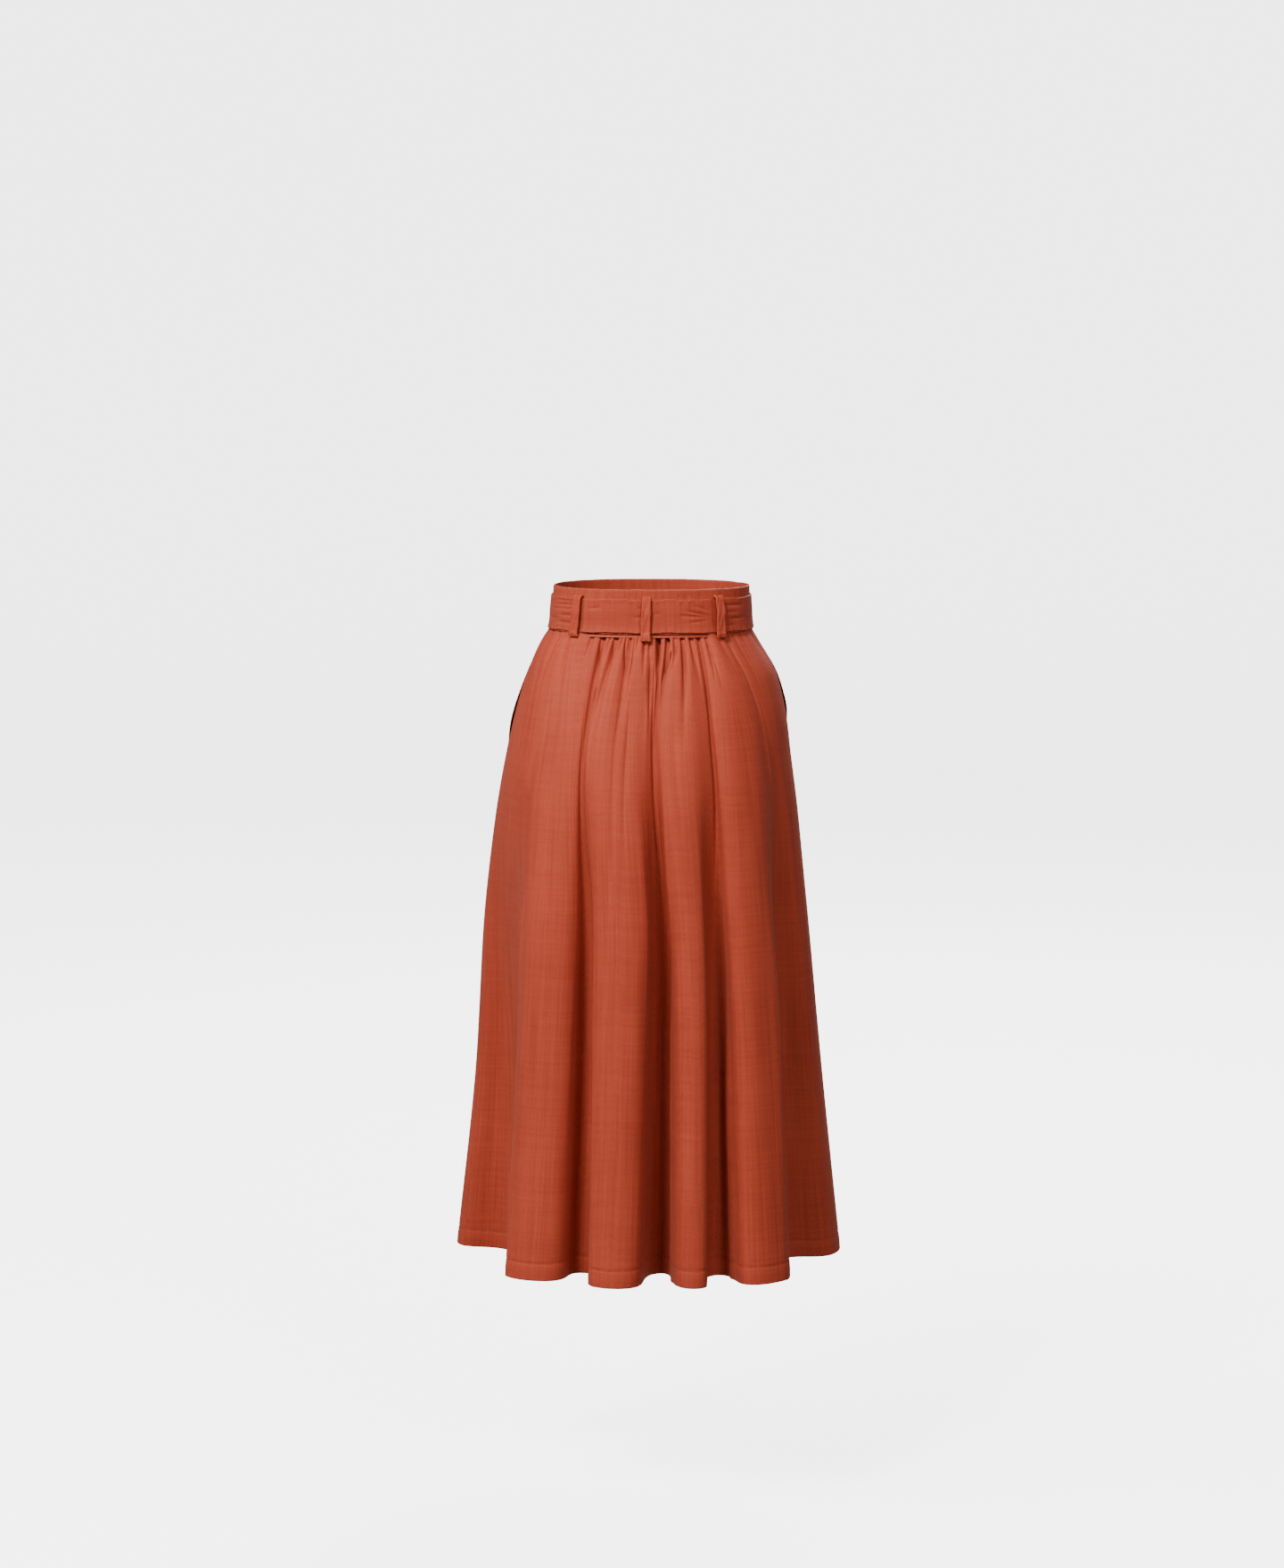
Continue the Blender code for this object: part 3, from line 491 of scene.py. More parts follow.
def crease_height(crease, places, drops, u, v, metres):
    """Height that one crease adds all over a panel."""
    ends = []
    for place, drop in ((crease.place, crease.drop), (crease.to_place, crease.to_drop)):
        row = np.argmin(np.abs(drops - drop))
        column = np.argmin(np.abs(places - place))
        ends.append((u[row, column], v[row, column]))
    (u0, v0), (u1, v1) = ends
    length = np.hypot(u1 - u0, v1 - v0)
    fall = crease.to_drop - crease.drop
    if abs(fall) > 0.5 * length:  # follows the threads down
        t = (drops[:, None] - crease.drop) / fall
        line = crease.place + (crease.to_place - crease.place) * np.clip(t, 0, 1)
        off = (places - line) * metres
    else:
        du = (u1 - u0) / length
        dv = (v1 - v0) / length
        t = ((u - u0) * du + (v - v0) * dv) / length
        off = (u - u0) * -dv + (v - v0) * du
    off = off - crease.bow * np.sin(np.pi * np.clip(t, 0, 1))
    rise = crease.start + (1 - crease.start) * (1 - flank(t / CREASE_RISE))
    rise = np.where(t < 0, crease.start * bell(t, CREASE_LEAD), rise)
    return crease.height * crease_shape(off, crease.width, crease.sharp) * rise * flank(t)


def seeded_creases(first, seed):
    """Faint streaks down the cloth, little gathers at the waist and puckers at the hem."""
    draw = np.random.default_rng(seed)

    def spread(count, margin):
        for i in range(count):
            yield first + 180.0 * (i + draw.uniform(margin, 1 - margin)) / count

    rows = []
    for place in spread(STREAKS, 0.1):
        top = draw.uniform(0.02, 0.45)
        length = draw.uniform(0.15, 0.42)
        height = draw.choice((-1, 1)) * draw.uniform(0.00025, 0.0006)
        rows.append(Crease(place, top, place + draw.uniform(-1.2, 1.2), min(top + length, STREAK_END),
                           draw.uniform(0.0030, 0.0075), height, 0.15, 0.0,
                           draw.uniform(-0.004, 0.004)))
    for place in spread(PUCKERS, 0.15):
        strength = np.clip(min(place - first, first + 180.0 - place) / 30.0, 0.35, 1.0)
        rows.append(Crease(place, 0.0, place + draw.uniform(-0.7, 0.7), draw.uniform(0.010, 0.034),
                           draw.uniform(0.0010, 0.0017), -strength * draw.uniform(0.0004, 0.0010),
                           0.5, 1.0))
    for place in spread(HEM_PUCKERS, 0.1):
        low = SKIRT_LENGTH - HEM_DEPTH + draw.uniform(-0.002, 0.002)
        rows.append(Crease(place, low - draw.uniform(0.003, 0.009), place + draw.uniform(-1.4, 1.4),
                           low + draw.uniform(0.003, 0.010), draw.uniform(0.0012, 0.0022),
                           draw.choice((-1, 1)) * draw.uniform(0.0003, 0.0009), 0.4, 0.3))
    return rows


def gather_creases(first):
    """The sharp line in the trough of each gather."""
    rows = []
    for gather in GATHERS:
        if first < gather.bearing < first + 180.0:
            side = min(gather.bearing - first, first + 180.0 - gather.bearing)
            share = 0.80 * np.clip((side - 30.0) / 20.0, 0.2, 1.0)
            rows.append(Crease(gather.bearing, 0.0, gather.bearing + gather.lean,
                               1.1 * gather.reach, 0.0020, -share * gather.depth, 0.9, 0.8))
    return rows


def panel_drops():
    """Rows of a panel, closest together at the waist and at the hem."""
    marks = (0.0, 0.040, 0.150, 0.400, SKIRT_LENGTH - 0.034, SKIRT_LENGTH)
    counts = (30, 44, 44, 38, 18)
    rows = [np.linspace(a, b, n, endpoint=False) for a, b, n in zip(marks, marks[1:], counts)]
    return np.concatenate(rows + [[SKIRT_LENGTH]])


def tucked_sides(grid, outs):
    """The grid with its side edges turned in behind it."""
    for edge, step in ((0, 1), (-1, -1)):
        along = unit(grid[:, edge + 4 * step] - grid[:, edge])
        tuck = [grid[:, edge] + along * reach - outs[:, edge] * deep * SHEET_GAP
                for reach, deep in SIDE_TUCK]
        tuck = np.stack(tuck, axis=1)
        grid = np.concatenate([tuck[:, ::-1], grid] if edge == 0 else [grid, tuck], axis=1)
    return grid


def panel_cloth(name, first, front, creases, seed):
    """A skirt panel as one sheet, with its hem, top and side edges turned in."""
    share = np.linspace(0.0, 1.0, PANEL_COLUMNS)
    share += COLUMN_WARP * np.sin(2 * np.pi * share) / (2 * np.pi)
    places = first + 180.0 * share
    drops = panel_drops()
    place, drop = np.meshgrid(places, drops)
    points = cloth_point(place, drop, front)
    u, v = cloth_metres(points)
    metres = np.gradient(u, places, axis=1)
    height = np.zeros_like(u)
    for crease in creases + gather_creases(first) + seeded_creases(first, seed):
        height += crease_height(crease, places, drops, u, v, metres)
    above = SKIRT_LENGTH - drops[:, None]
    height -= STITCH_PULL * bell(above - HEM_TURN, 0.0012)
    height += HEM_SWELL * bell(above - 0.5 * HEM_TURN, 0.007)
    points = points + grid_normals(points) * height[..., None]
    points[0, :, 2] = SEAM_Z - 0.5 * SEAM_GAP
    normals = grid_normals(points)

    down = unit(points[-1] - points[-2])
    hem = []
    for angle in np.radians((45, 90, 135, 180)):
        hem.append(points[-1] + HEM_ROLL * (np.sin(angle) * down - (1 - np.cos(angle)) * normals[-1]))
    hem_outs = [normals[-1]] * len(hem)
    for inner_drop in SKIRT_LENGTH - np.linspace(0.002, HEM_TURN, 9):
        row = np.argmin(np.abs(drops - inner_drop))
        hem.append(points[row] - SHEET_GAP * normals[row])
        hem_outs.append(normals[row])
    waist = ring_radius(places, 0.0 * places)
    top = [round_points(waist + stand, places, SEAM_Z + lift) for lift, stand in TOP_TUCK]
    grid = np.concatenate([top, points, hem])
    outs = grid_normals(grid)
    outs[-len(hem):] = hem_outs
    grid = tucked_sides(grid, outs)
    u, v = cloth_metres(grid)
    u = np.broadcast_to(u[len(top) + len(points) - 1], u.shape)  # the straight grain
    return grid_piece(name, grid, u, v), points, normals, drops


def grid_piece(name, points, u, v):
    """Smooth mesh through a grid of points whose rows run down and columns run round."""
    rows, columns = points.shape[:2]
    index = np.arange(rows * columns).reshape(rows, columns)
    quads = np.stack([index[:-1, :-1], index[1:, :-1], index[1:, 1:], index[:-1, 1:]], axis=-1)
    return mesh_piece(name, points, quads, np.stack([u, v], axis=-1))


def add(name, data):
    """A new object in the scene."""
    made = bpy.data.objects.new(name, data)
    bpy.context.scene.collection.objects.link(made)
    return made


def mesh_piece(name, points, faces, uv=None):
    """Smooth mesh, whose uv is its place on the cloth in metres."""
    data = bpy.data.meshes.new(name)
    data.from_pydata(points.reshape(-1, 3).tolist(), [], faces.reshape(-1, 4).tolist())
    if uv is not None:
        layer = data.uv_layers.new(name="cloth")
        loops = np.empty(len(data.loops), dtype=np.int64)
        data.loops.foreach_get("vertex_index", loops)
        layer.data.foreach_set("uv", uv.reshape(-1, 2)[loops].ravel())
    data.shade_smooth()
    data.update()
    return add(name, data)


def tube_quads(rows, around):
    """Faces of a tube whose points are numbered ring by ring."""
    index = np.arange(rows * around).reshape(rows, around)
    beside = np.roll(index, -1, axis=1)
    return np.stack([index[:-1], beside[:-1], beside[1:], index[1:]], axis=-1).reshape(-1, 4)


def tube_piece(name, sections, uv_round, uv_along):
    """Closed tube: sections are (along, around, 3), with pinched ends."""
    ends = sections[[0, -1]]
    ends = PINCH * ends + (1 - PINCH) * ends.mean(axis=1, keepdims=True)
    points = np.concatenate([ends[:1], sections, ends[1:]])
    quads = tube_quads(*points.shape[:2])
    u = np.concatenate([uv_along[:1], uv_along, uv_along[-1:]])
    uv = np.stack(np.meshgrid(u, uv_round, indexing="ij"), axis=-1)
    return mesh_piece(name, points, quads, uv)


# ---- waistband and belt
FINE_STEP = 0.45  # degrees between columns round the waist
ROUND_EDGE = np.radians((30, 60, 90, 120, 150))  # turns round a folded edge
PINCH = 0.12  # share of its width at a tube's pinched end
WAIST_RADIUS = 0.105  # mean, for lengths round the waist
BAND_GAP = 0.08  # degrees from the side seam to a waistband half
BAND_WAVES = 14  # soft waves in each half
LOOP_ROWS = 70
LOOP_FACE = 13  # columns on a loop's outside
LOOP_EDGE = 0.20  # share of its half width in the rounded edge
LOOP_PRESS = 0.0014  # how far a loop presses the belt in
LOOP_PRESS_WIDTH = 3.9  # degrees to each side of the loop

# Creases on the belt, each from one bearing and height to another.
Wrinkle = namedtuple("Wrinkle", "bearing z to_bearing to_z width height")
BELT_WRINKLES = [Wrinkle(*row) for row in (
    (198.0, 0.0125, 220.0, 0.012, 0.0011, -0.0013), (200.0, 0.007, 221.0, 0.0082, 0.0013, -0.0017),
    (196.0, 0.0015, 220.5, 0.003, 0.0011, -0.0013), (203.0, -0.006, 221.0, -0.0048, 0.0014, -0.0017),
    (200.0, -0.014, 220.0, -0.015, 0.0014, -0.0013), (188.0, -0.01, 206.0, -0.0105, 0.0016, -0.0011),
    (297.0, 0.003, 314.5, -0.0042, 0.0014, -0.0017), (293.0, -0.003, 314.5, -0.0066, 0.0014, -0.0015),
    (300.0, -0.012, 315.0, -0.0092, 0.0014, -0.0013), (303.0, 0.0095, 315.0, 0.0015, 0.0011, -0.0009),
    (262.0, 0.006, 268.0, 0.004, 0.0016, -0.0011), (259.0, -0.006, 267.5, -0.005, 0.0014, -0.0009),
    (272.0, -0.002, 281.0, -0.0005, 0.0015, -0.0009), (226.5, 0.004, 236.0, 0.006, 0.0015, -0.0009),
    (320.0, 0.008, 341.0, 0.007, 0.0014, -0.0015), (320.0, 0.0, 336.0, -0.001, 0.0014, -0.0011),
    (322.0, -0.009, 345.0, -0.008, 0.0015, -0.0015), (320.0, -0.016, 333.0, -0.017, 0.0014, -0.0011),
    (30.0, 0.006, 43.0, 0.004, 0.0014, -0.0013), (32.0, -0.006, 43.0, -0.004, 0.0014, -0.0011),
    (49.0, 0.003, 62.0, 0.005, 0.0015, -0.0011), (120.0, 0.005, 131.0, 0.003, 0.0014, -0.0011),
    (137.5, -0.005, 152.0, -0.007, 0.0014, -0.0013), (138.0, 0.006, 156.0, 0.008, 0.0014, -0.0013),
)]
EDGE_PUCKERS = (  # where the belt's top edge crumples: bearing, half width, depth
    (232.0, 1.4, 0.0016), (240.0, 1.0, 0.001), (257.0, 1.6, 0.0022), (261.5, 1.0, 0.0014),
    (266.0, 1.0, 0.0018), (277.0, 1.2, 0.0018), (282.0, 1.0, 0.001), (294.0, 1.4, 0.0018),
    (300.0, 1.6, 0.0022), (309.0, 1.0, 0.0012), (323.0, 1.4, 0.0014), (336.0, 1.6, 0.0012),
    (210.0, 1.4, 0.0012), (196.0, 1.6, 0.001), (30.0, 1.6, 0.0012), (58.0, 1.4, 0.0014),
    (72.0, 1.2, 0.0012), (95.0, 1.4, 0.0014), (118.0, 1.4, 0.0016), (150.0, 1.6, 0.0012),
)


def wrinkle_height(wrinkles, bearing, z):
    """Height that wrinkles add on a strip of cloth round the waist."""
    metres = np.radians(1.0) * WAIST_RADIUS
    height = np.zeros_like(bearing)
    for row in wrinkles:
        along = (row.to_bearing - row.bearing) * metres
        rise = row.to_z - row.z
        length = np.hypot(along, rise)
        up = z - row.z
        for turn in (0.0, 360.0):
            across = (bearing - row.bearing - turn) * metres
            t = (across * along + up * rise) / length ** 2
            off = (up * along - across * rise) / length
            shape = crease_shape(off, row.width, 0.5)
            height += row.height * shape * np.sin(np.pi * np.clip(t, 0, 1)) ** 0.7
    return height


def edge_pucker(bearing):
    """How far the belt's top edge is crumpled down."""
    drop = np.zeros_like(bearing)
    for at, half_width, depth in EDGE_PUCKERS:
        drop += depth * bell(wrapped(bearing - at), half_width)
    return drop


def band_cloth(name, first, seed):
    """Half of the waistband: its outside, the fold at the top and its inside."""
    bearings = np.linspace(first + BAND_GAP, first + 180 - BAND_GAP, round(180 / FINE_STEP) + 1)
    radius = 0.5 * BAND_WALL
    path = [(z, 0.0) for z in np.linspace(SEAM_Z + 0.5 * SEAM_GAP, BAND_TOP - radius, 26)]
    path += [(BAND_TOP - radius + radius * np.sin(a), -radius + radius * np.cos(a)) for a in ROUND_EDGE]
    path += [(z, -BAND_WALL) for z in np.linspace(BAND_TOP - radius, SEAM_Z - 0.004, 22)]
    z, stand = (np.repeat(column[::-1, None], len(bearings), axis=1) for column in np.array(path).T)
    bearing = np.broadcast_to(bearings, z.shape)
    draw = np.random.default_rng(seed)
    wave = np.zeros_like(z)
    for _ in range(BAND_WAVES):
        at = first + draw.uniform(4, 176)
        wave += draw.uniform(-0.0005, 0.0005) * bell(bearing - at, draw.uniform(1.5, 5))
    z = z + 0.6 * wave * (z > 0.010)
    crumple = bell(z - BELT_TOP - 0.002, 0.004) * edge_pucker(bearing) * (stand > -radius)
    points = band_point(bearing, z, stand + 0.6 * wave - 0.35 * crumple)
    u, v = cloth_metres(points)
    return grid_piece(name, points[::-1], u[::-1], v[::-1])


def belt_cloth():
    """The belt, a flat tube of cloth, once round and past its start."""
    turn = 360 + BELT_END - BELT_START
    half = 0.5 * (BELT_TOP - BELT_BOTTOM)
    middle = 0.5 * (BELT_TOP + BELT_BOTTOM)
    radius = 0.5 * BELT_WALL
    edge = half - radius
    section = [(z, 1.0) for z in np.linspace(edge, -edge, 30)]
    section += [(-edge - radius * np.sin(a), np.cos(a)) for a in ROUND_EDGE]
    section += [(z, -1.0) for z in np.linspace(-edge, edge, 14)]
    section += [(edge + radius * np.sin(a), np.cos(a)) for a in ROUND_EDGE[::-1]]
    heights, side = np.array(section).T
    bearings = np.linspace(BELT_START, BELT_START + turn, round(turn / FINE_STEP) + 1)
    bearing = np.repeat(bearings[:, None], len(section), axis=1)
    angle = np.radians(bearing)
    z = middle + heights + 0 * bearing
    near_top = np.clip((z - middle) / half, 0, 1) ** 3
    near_bottom = np.clip((middle - z) / half, 0, 1) ** 3
    crumple = edge_pucker(bearing % 360) * near_top
    z = z + 0.00035 * np.sin(angle * 9.0 + 0.6) + 0.00025 * np.sin(angle * 23.0) - 0.95 * crumple
    outside = np.clip(side, 0, 1)
    height = wrinkle_height(BELT_WRINKLES, bearing, z) + 0.50 * crumple
    height -= 0.0003 * near_bottom * (1 + np.sin(angle * 61.0))
    for loop in LOOPS:  # pressed in under each loop
        off = wrapped(bearing - loop.bearing - 0.5 * loop.swing)
        height -= LOOP_PRESS * bell(off, LOOP_PRESS_WIDTH, 4)
    stand = belt_lift(bearing) + 0.5 * BELT_WALL * (1 + side) + height * outside
    points = band_point(bearing, z, stand)
    return tube_piece("belt_cloth", points, run_along(points[0]), run_along(points[:, 0]))


def loop_cloth(loop, seed):
    """A belt loop, a narrow folded strip with its ends turned under."""
    draw = np.random.default_rng(seed)
    path = loop_path(loop)
    run = run_along(path)
    t = np.linspace(0, 1, LOOP_ROWS)
    middle = np.stack([np.interp(t * run[-1], run, column) for column in path.T], axis=-1)
    for _ in range(6):  # rounds the corners
        middle[1:-1] = 0.25 * middle[:-2] + 0.5 * middle[1:-1] + 0.25 * middle[2:]
    outward = unit(np.gradient(middle, axis=0))[:, ::-1] * (-1, 1)
    outward *= np.sign(outward[len(outward) // 2, 1])

    flat = 1 - LOOP_EDGE
    section = [(x * flat, 1.0) for x in np.linspace(-1, 1, LOOP_FACE)]
    section += [(flat + LOOP_EDGE * np.sin(a), np.cos(a)) for a in np.radians((45, 90, 135))]
    section += [(x * flat, -1.0) for x in np.linspace(1, -1, 7)]
    section += [(-flat - LOOP_EDGE * np.sin(a), np.cos(a)) for a in np.radians((135, 90, 45))]
    across, side = np.array(section).T

    t = t[:, None]
    wave = 2 * np.pi * t
    wobble = 0.05 * np.sin(1.3 * wave + draw.uniform(0, 6)) + 0.03 * np.sin(3.1 * wave)
    width = 1 + 0.04 * np.sin(0.9 * wave + draw.uniform(0, 6)) + 0.10 * bell(1 - t, 0.09)
    relief = 0.00050 * bell(np.abs(across) - 0.72, 0.15)  # over the turned edges
    relief = relief + 0.0007 * (bell(t, 0.07, 4) + bell(1 - t, 0.09, 4))  # and the turned ends
    relief = relief + 0.00022 * np.sin(5.0 * across + 2.2 * wave + draw.uniform(0, 6))
    thick = 0.5 * LOOP_WALL * side + relief * np.clip(side, 0, 1)
    z = middle[:, :1] + outward[:, :1] * thick
    stand = middle[:, 1:] + outward[:, 1:] * thick
    half_turn = np.degrees(0.5 * LOOP_WIDTH / ring_radius(loop.bearing, 0.0))
    bearing = loop.bearing + loop.swing * t + half_turn * (across * width + wobble)
    points = band_point(bearing, np.maximum(z, SEAM_Z), stand)
    points[..., 2] = z + 0.0004 * across * np.sin(0.5 * wave)
    around = 2 * LOOP_WIDTH * np.arange(len(across)) / len(across)
    name = "loop_" + loop.name + "_cloth"
    return tube_piece(name, points[:, ::-1], around, run[-1] * t[:, 0]), points


# ---- pockets
def cloth_out(place, drop, front):
    """Unit direction out of a panel's cloth."""
    turn = 0.05
    step = 0.0005
    inside = np.clip(drop, step, SKIRT_LENGTH - step)
    round_way = cloth_point(place + turn, drop, front) - cloth_point(place - turn, drop, front)
    down_way = cloth_point(place, inside + step, front) - cloth_point(place, inside - step, front)
    return unit(np.cross(round_way, -down_way))


def behind_cloth(places, drop, front, depth):
    """Points behind a panel's cloth, by a depth."""
    places = places % 360.0
    inward = -cloth_out(places, drop, front)
    return cloth_point(places, drop, front) + inward * depth[..., None]


def pocket_cloth(pocket):
    """A pocket bag: its front layer, the fold, its back layer and the lip on the seam."""
    across, drop = np.meshgrid(np.linspace(0, 1, 48), np.linspace(POCKET_TOP, POCKET_LENGTH, 70))
    down = (drop - POCKET_TOP) / (POCKET_LENGTH - POCKET_TOP)
    reach = POCKET_REACH * curve_through(down, (0.0, POCKET_WIDEST, 1.0), POCKET_REACHES)
    places = pocket.seam + pocket.forward * (POCKET_EDGE + reach * across)
    depths = POCKET_LIP + POCKET_DEPTH * (1 - flank(2 * across))
    depths += 0.0004 * np.sin(14 * across + 9 * down) * np.sin(np.pi * across) * np.sin(np.pi * down)
    room = POCKET_ROOM * np.sin(np.pi * down)
    parting = POCKET_PARTING + room * (1 - POCKET_TAPER * across)
    parting[:, -1] = POCKET_PARTING
    front_layer = behind_cloth(places, drop, True, depths)
    back_layer = behind_cloth(places, drop, False, depths + parting)
    lip_places, lip_drop = np.meshgrid(
        pocket.seam - pocket.forward * np.linspace(1.0, POCKET_UNDER, 4), drop[:, 0])
    lip = behind_cloth(lip_places, lip_drop, False, np.full_like(lip_places, POCKET_LIP))
    points = np.concatenate([front_layer, back_layer[:, ::-1], lip], axis=1)
    return grid_piece(pocket.name + "_cloth", points, *cloth_metres(points))


# ---- thread
STITCH_RADIUS = 0.00022
HEM_STITCH = (0.0024, 0.0014)  # length of a stitch, and the gap to the next
TACK_STITCH = (0.0016, 0.0003)
THREAD_RINGS = (  # along a stitch: share of its length, width and lift
    (0.0, 0.25, -0.6), (0.15, 0.85, 0.35), (0.5, 1.0, 0.75), (0.85, 0.85, 0.35), (1.0, 0.25, -0.6),
)
THREAD_SIDES = 6


def thread_piece(name, starts, ends, outs):
    """Stitches as little rounded lengths of thread from starts to ends."""
    along = ends - starts
    across = unit(np.cross(along, outs))
    points = []
    for share, swell, lift in THREAD_RINGS:
        centre = starts + share * along + outs * STITCH_RADIUS * lift
        for turn in np.linspace(0, 2 * np.pi, THREAD_SIDES, endpoint=False):
            points.append(centre + STITCH_RADIUS * swell * (np.cos(turn) * across + np.sin(turn) * outs))
    points = np.array(points).transpose(1, 0, 2)
    firsts = points.shape[1] * np.arange(len(points))
    every = firsts[:, None, None] + tube_quads(len(THREAD_RINGS), THREAD_SIDES)
    return mesh_piece(name, points, every)


def along_line(line, outs, stitch, gap):
    """Starts, ends and outward directions of stitches along a line of points."""
    run = run_along(line)
    begin = np.arange(gap, run[-1] - stitch, stitch + gap)

    def at(distance, values):
        return np.stack([np.interp(distance, run, column) for column in values.T], axis=-1)

    return at(begin, line), at(begin + stitch, line), unit(at(begin, outs))


def loop_tacks(name, points):
    """Short rows of stitches across both sewn ends of a loop."""
    face = points[:, :LOOP_FACE]
    outs = grid_normals(face)
    if (outs[:, :, :2] * face[:, :, :2]).sum() < 0:
        outs = -outs
    found = []
    for row in (5, 7, -7, -5):
        found.append(along_line(face[row, 2:-2], outs[row, 2:-2], *TACK_STITCH))
    return thread_piece(name, *(np.concatenate(part) for part in zip(*found)))


# ---- materials
def node(tree, kind, inputs=None, **settings):
    """A shader node, whose inputs are values or sockets to link."""
    made = tree.nodes.new("ShaderNode" + kind)
    for key, value in settings.items():
        setattr(made, key, value)
    for key, value in (inputs or {}).items():
        if isinstance(value, bpy.types.NodeSocket):
            tree.links.new(value, made.inputs[key])
        else:
            made.inputs[key].default_value = value
    return made


def cloth_material(name, light, dark, roughness=0.52, sheen=0.05, weave=0.45, coords="UV"):
    """Satin twill: slubby threads both ways, a fine diagonal and soft shade changes."""
    material = bpy.data.materials.new(name)
    material.use_nodes = True
    tree = material.node_tree
    shader = tree.nodes["Principled BSDF"]
    at = node(tree, "TexCoord").outputs[coords]

    def threads(across, down, detail):
        scale = (across, down, down if coords == "UV" else across)
        scaled = node(tree, "Mapping", {"Vector": at, "Scale": scale}).outputs[0]
        return node(tree, "TexNoise", {"Vector": scaled, "Scale": 1.0, "Detail": detail,
                                       "Roughness": 0.6}).outputs[0]

    def calc(operation, *values):
        return node(tree, "Math", dict(enumerate(values)), operation=operation).outputs[0]

    warp = threads(700.0, 9.0, 3.0)
    weft = threads(11.0, 620.0, 3.0)
    slub = threads(240.0, 5.0, 2.0)
    cross = threads(6.0, 210.0, 2.0)
    cloud = threads(7.0, 5.0, 3.0)
    grain = calc("MULTIPLY", calc("ADD", warp, weft), 0.5)
    shade = calc("MULTIPLY", grain, 0.35)
    for value, share in ((slub, 0.28), (cross, 0.14), (cloud, 0.25)):
        shade = calc("MULTIPLY_ADD", value, share, shade)
    ramp = node(tree, "ValToRGB", {"Fac": shade})
    for stop, position, colour in zip(ramp.color_ramp.elements, (0.40, 0.60), (dark, light)):
        stop.position = position
        stop.color = (*colour, 1)
    tree.links.new(ramp.outputs[0], shader.inputs["Base Color"])
    rough = node(tree, "MapRange", {"Value": grain, "From Min": 0.3, "From Max": 0.7,
                                    "To Min": roughness - 0.05, "To Max": roughness + 0.06})
    tree.links.new(rough.outputs[0], shader.inputs["Roughness"])
    twill = node(tree, "Mapping", {"Vector": at, "Scale": (1300.0, 1300.0, 1300.0),
                                   "Rotation": (0, 0, 0.9)}).outputs[0]
    lines = node(tree, "TexWave", {"Vector": twill, "Scale": 1.0, "Distortion": 1.2,
                                   "Detail": 1.0, "Detail Scale": 1.0}).outputs["Fac"]
    relief = calc("MULTIPLY_ADD", slub, 1.5, calc("MULTIPLY_ADD", lines, 0.25, grain))
    bump = node(tree, "Bump", {"Height": relief, "Strength": weave, "Distance": 0.0003})
    tree.links.new(bump.outputs[0], shader.inputs["Normal"])
    for key, value in (("Sheen Weight", sheen), ("Sheen Roughness", 0.45),
                       ("Sheen Tint", (1.0, 0.62, 0.50, 1)), ("IOR", 1.28),
                       ("Specular IOR Level", 0.5), ("Specular Tint", (1.0, 0.60, 0.46, 1))):
        shader.inputs[key].default_value = value
    return material


satin = cloth_material("satin_twill", (0.372, 0.052, 0.0275), (0.268, 0.033, 0.0168))
satin_band = cloth_material("satin_twill_band", (0.366, 0.051, 0.0270), (0.268, 0.033, 0.0165),
                            roughness=0.48)
# The loops' satin is a lit copy of the skirt's, a little brighter: painted light for the light the loops
# catch standing proud of the belt.
satin_loop_painted_light = cloth_material("satin_twill_loop_painted_light", (0.395, 0.055, 0.0290), (0.290, 0.036, 0.0175))
# The pocket bag is real cotton, coloured dark: painted shade for the shadow inside the pocket mouth.
pocketing_painted_shade = cloth_material("pocket_cotton_painted_shade", (0.180, 0.022, 0.010), (0.120, 0.014, 0.007),
                           roughness=0.85, weave=0.5)
thread = cloth_material("sewing_thread", (0.330, 0.042, 0.018), (0.240, 0.028, 0.012),
                        roughness=0.55, sheen=0.10, weave=0.5, coords="Object")


def dress(piece, material, slot, *nodes):
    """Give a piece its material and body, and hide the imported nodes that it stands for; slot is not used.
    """
    piece.data.materials.append(material)
    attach(piece, "root")
    if nodes:
        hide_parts(*nodes)
    return piece


# ---- the skirt
for name, first, front, creases, seed, flat, area in (
    ("skirt_back", 180.0, False, BACK_CREASES, 11, (1.18, 0.83), 0.68),
    ("skirt_front", 0.0, True, FRONT_CREASES, 23, (1.12, 0.83), 0.62),
):
    piece, points, normals, drops = panel_cloth(name + "_cloth", first, front, creases, seed)
    dress(piece, satin, "satin", name)
    row = np.argmin(np.abs(drops - (SKIRT_LENGTH - HEM_TURN)))
    stitches = along_line(points[row], normals[row], *HEM_STITCH)
    hem = dress(thread_piece(name + "_hem_stitches", *stitches), thread, "satin")

for name, first, seed in (("waistband_back", 180.0, 5), ("waistband_front", 0.0, 6)):
    piece = dress(band_cloth(name + "_cloth", first, seed), satin_band, "satin", name)

belt = dress(belt_cloth(), satin_band, "satin", "belt")

for seed, loop in enumerate(LOOPS, start=40):
    piece, points = loop_cloth(loop, seed)
    dress(piece, satin_loop_painted_light, "satin", "belt_loop_" + loop.name)
    tacks = dress(loop_tacks(piece.name + "_tacks", points), thread, "satin")

for pocket in POCKETS:
    piece = dress(pocket_cloth(pocket), pocketing_painted_shade, "pocket_cloth", pocket.name)


# ---- stage, light, camera
FLOOR_Z = -1.10
STUDIO_RADIUS = 9.0
COVE = 1.5  # radius of the curve between its floor and its wall


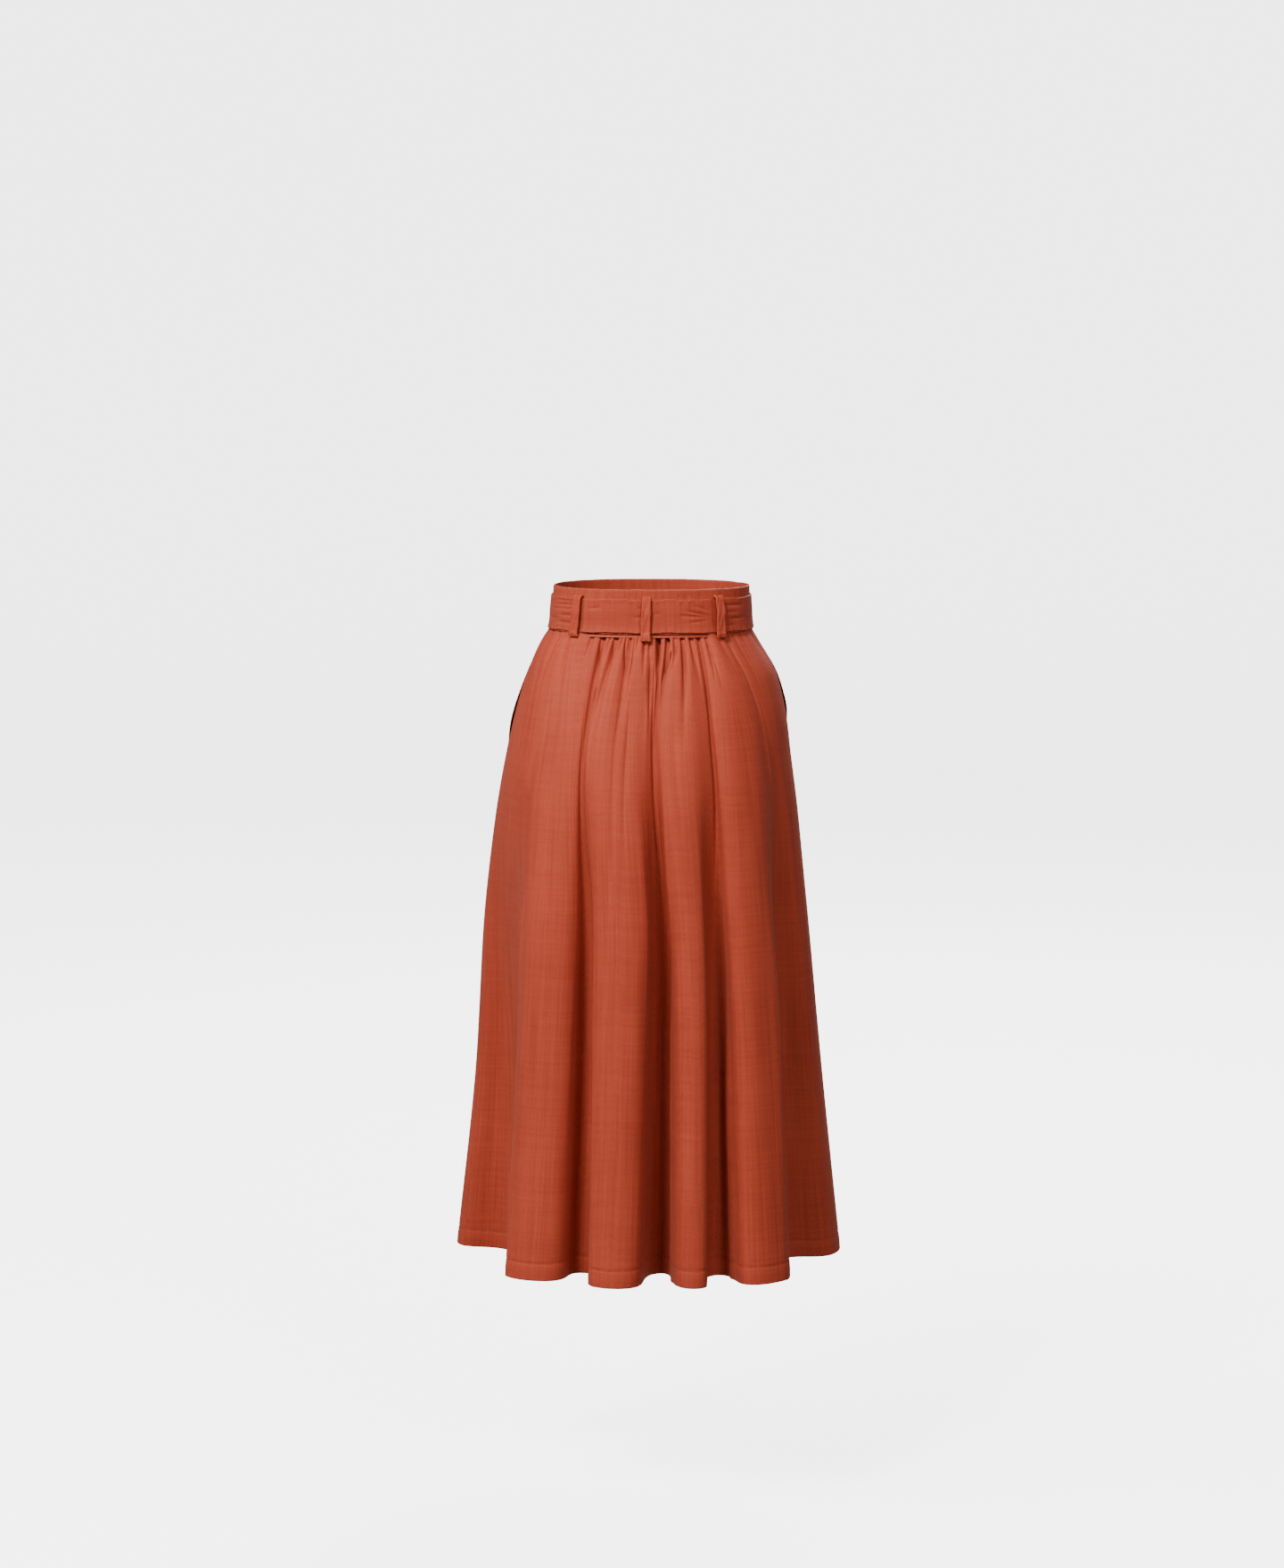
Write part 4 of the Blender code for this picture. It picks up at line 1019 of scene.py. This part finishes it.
def studio(name, floor_z):
    """Round pale floor that curves up into a wall all round."""
    flat = STUDIO_RADIUS - COVE
    profile = [(0.0002, floor_z), (flat - 1.0, floor_z)]
    for angle in np.radians(np.linspace(0, 90, 12)):
        profile.append((flat + COVE * np.sin(angle), floor_z + COVE - COVE * np.cos(angle)))
    profile.append((STUDIO_RADIUS, floor_z + STUDIO_RADIUS))
    turn = np.linspace(0, 360, 49)
    radius, height = np.array(profile[::-1]).T[..., None]
    points = round_points(radius + 0 * turn, turn, height)
    made = grid_piece(name, points, 0 * height + turn, height + 0 * turn)
    material = bpy.data.materials.new(name)
    material.use_nodes = True
    shader = material.node_tree.nodes["Principled BSDF"]
    shader.inputs["Base Color"].default_value = (0.86, 0.855, 0.85, 1)
    shader.inputs["Roughness"].default_value = 0.9
    shader.inputs["Emission Color"].default_value = (1.0, 1.0, 1.0, 1)
    shader.inputs["Emission Strength"].default_value = 3.6
    made.data.materials.append(material)
    made.visible_glossy = False
    made.visible_diffuse = False


def area_light(name, place, aim_z, size, power, colour):
    """A round lamp that points at a height on the skirt's axis."""
    data = bpy.data.lights.new(name, "AREA")
    data.shape = "DISK"
    data.size = size
    data.energy = power
    data.color = colour
    made = add(name, data)
    made.location = place
    away = np.array((0.0, 0.0, aim_z)) - place
    made.rotation_euler = Vector(away).to_track_quat("-Z", "Y").to_euler()


studio("studio_floor", FLOOR_Z)
area_light("key", (-2.0, -3.5, 4.2), -0.15, 1.8, 548.0, (1.0, 0.98, 0.96))
area_light("fill", (2.4, -4.2, 2.6), -0.3, 2.2, 145.0, (0.98, 0.98, 1.0))
area_light("left", (-3.4, -1.3, 2.6), -0.2, 1.6, 90.0, (1.0, 0.99, 0.98))
area_light("back", (0.8, 3.6, 2.6), -0.3, 2.0, 260.0, (1.0, 1.0, 1.0))

world = bpy.data.worlds.new("studio")
bpy.context.scene.world = world
world.use_nodes = True
sky = world.node_tree.nodes["Background"].inputs
sky["Color"].default_value = (1.0, 0.90, 0.84, 1)
sky["Strength"].default_value = 0.22

CAMERA_PLACE = (0.3297, -5.590, 0.4672)
CAMERA_TURN = (83.0, 0.0, 3.5)  # degrees: 7 down from level, and a little to the left
LENS = 104.4
camera_data = bpy.data.cameras.new("camera")
camera_data.sensor_fit = "VERTICAL"
camera_data.sensor_height = 36.0
camera_data.lens = LENS
camera_data.clip_end = 60.0
camera = add("camera", camera_data)
camera.location = CAMERA_PLACE
camera.rotation_euler = np.radians(CAMERA_TURN)
bpy.context.scene.camera = camera
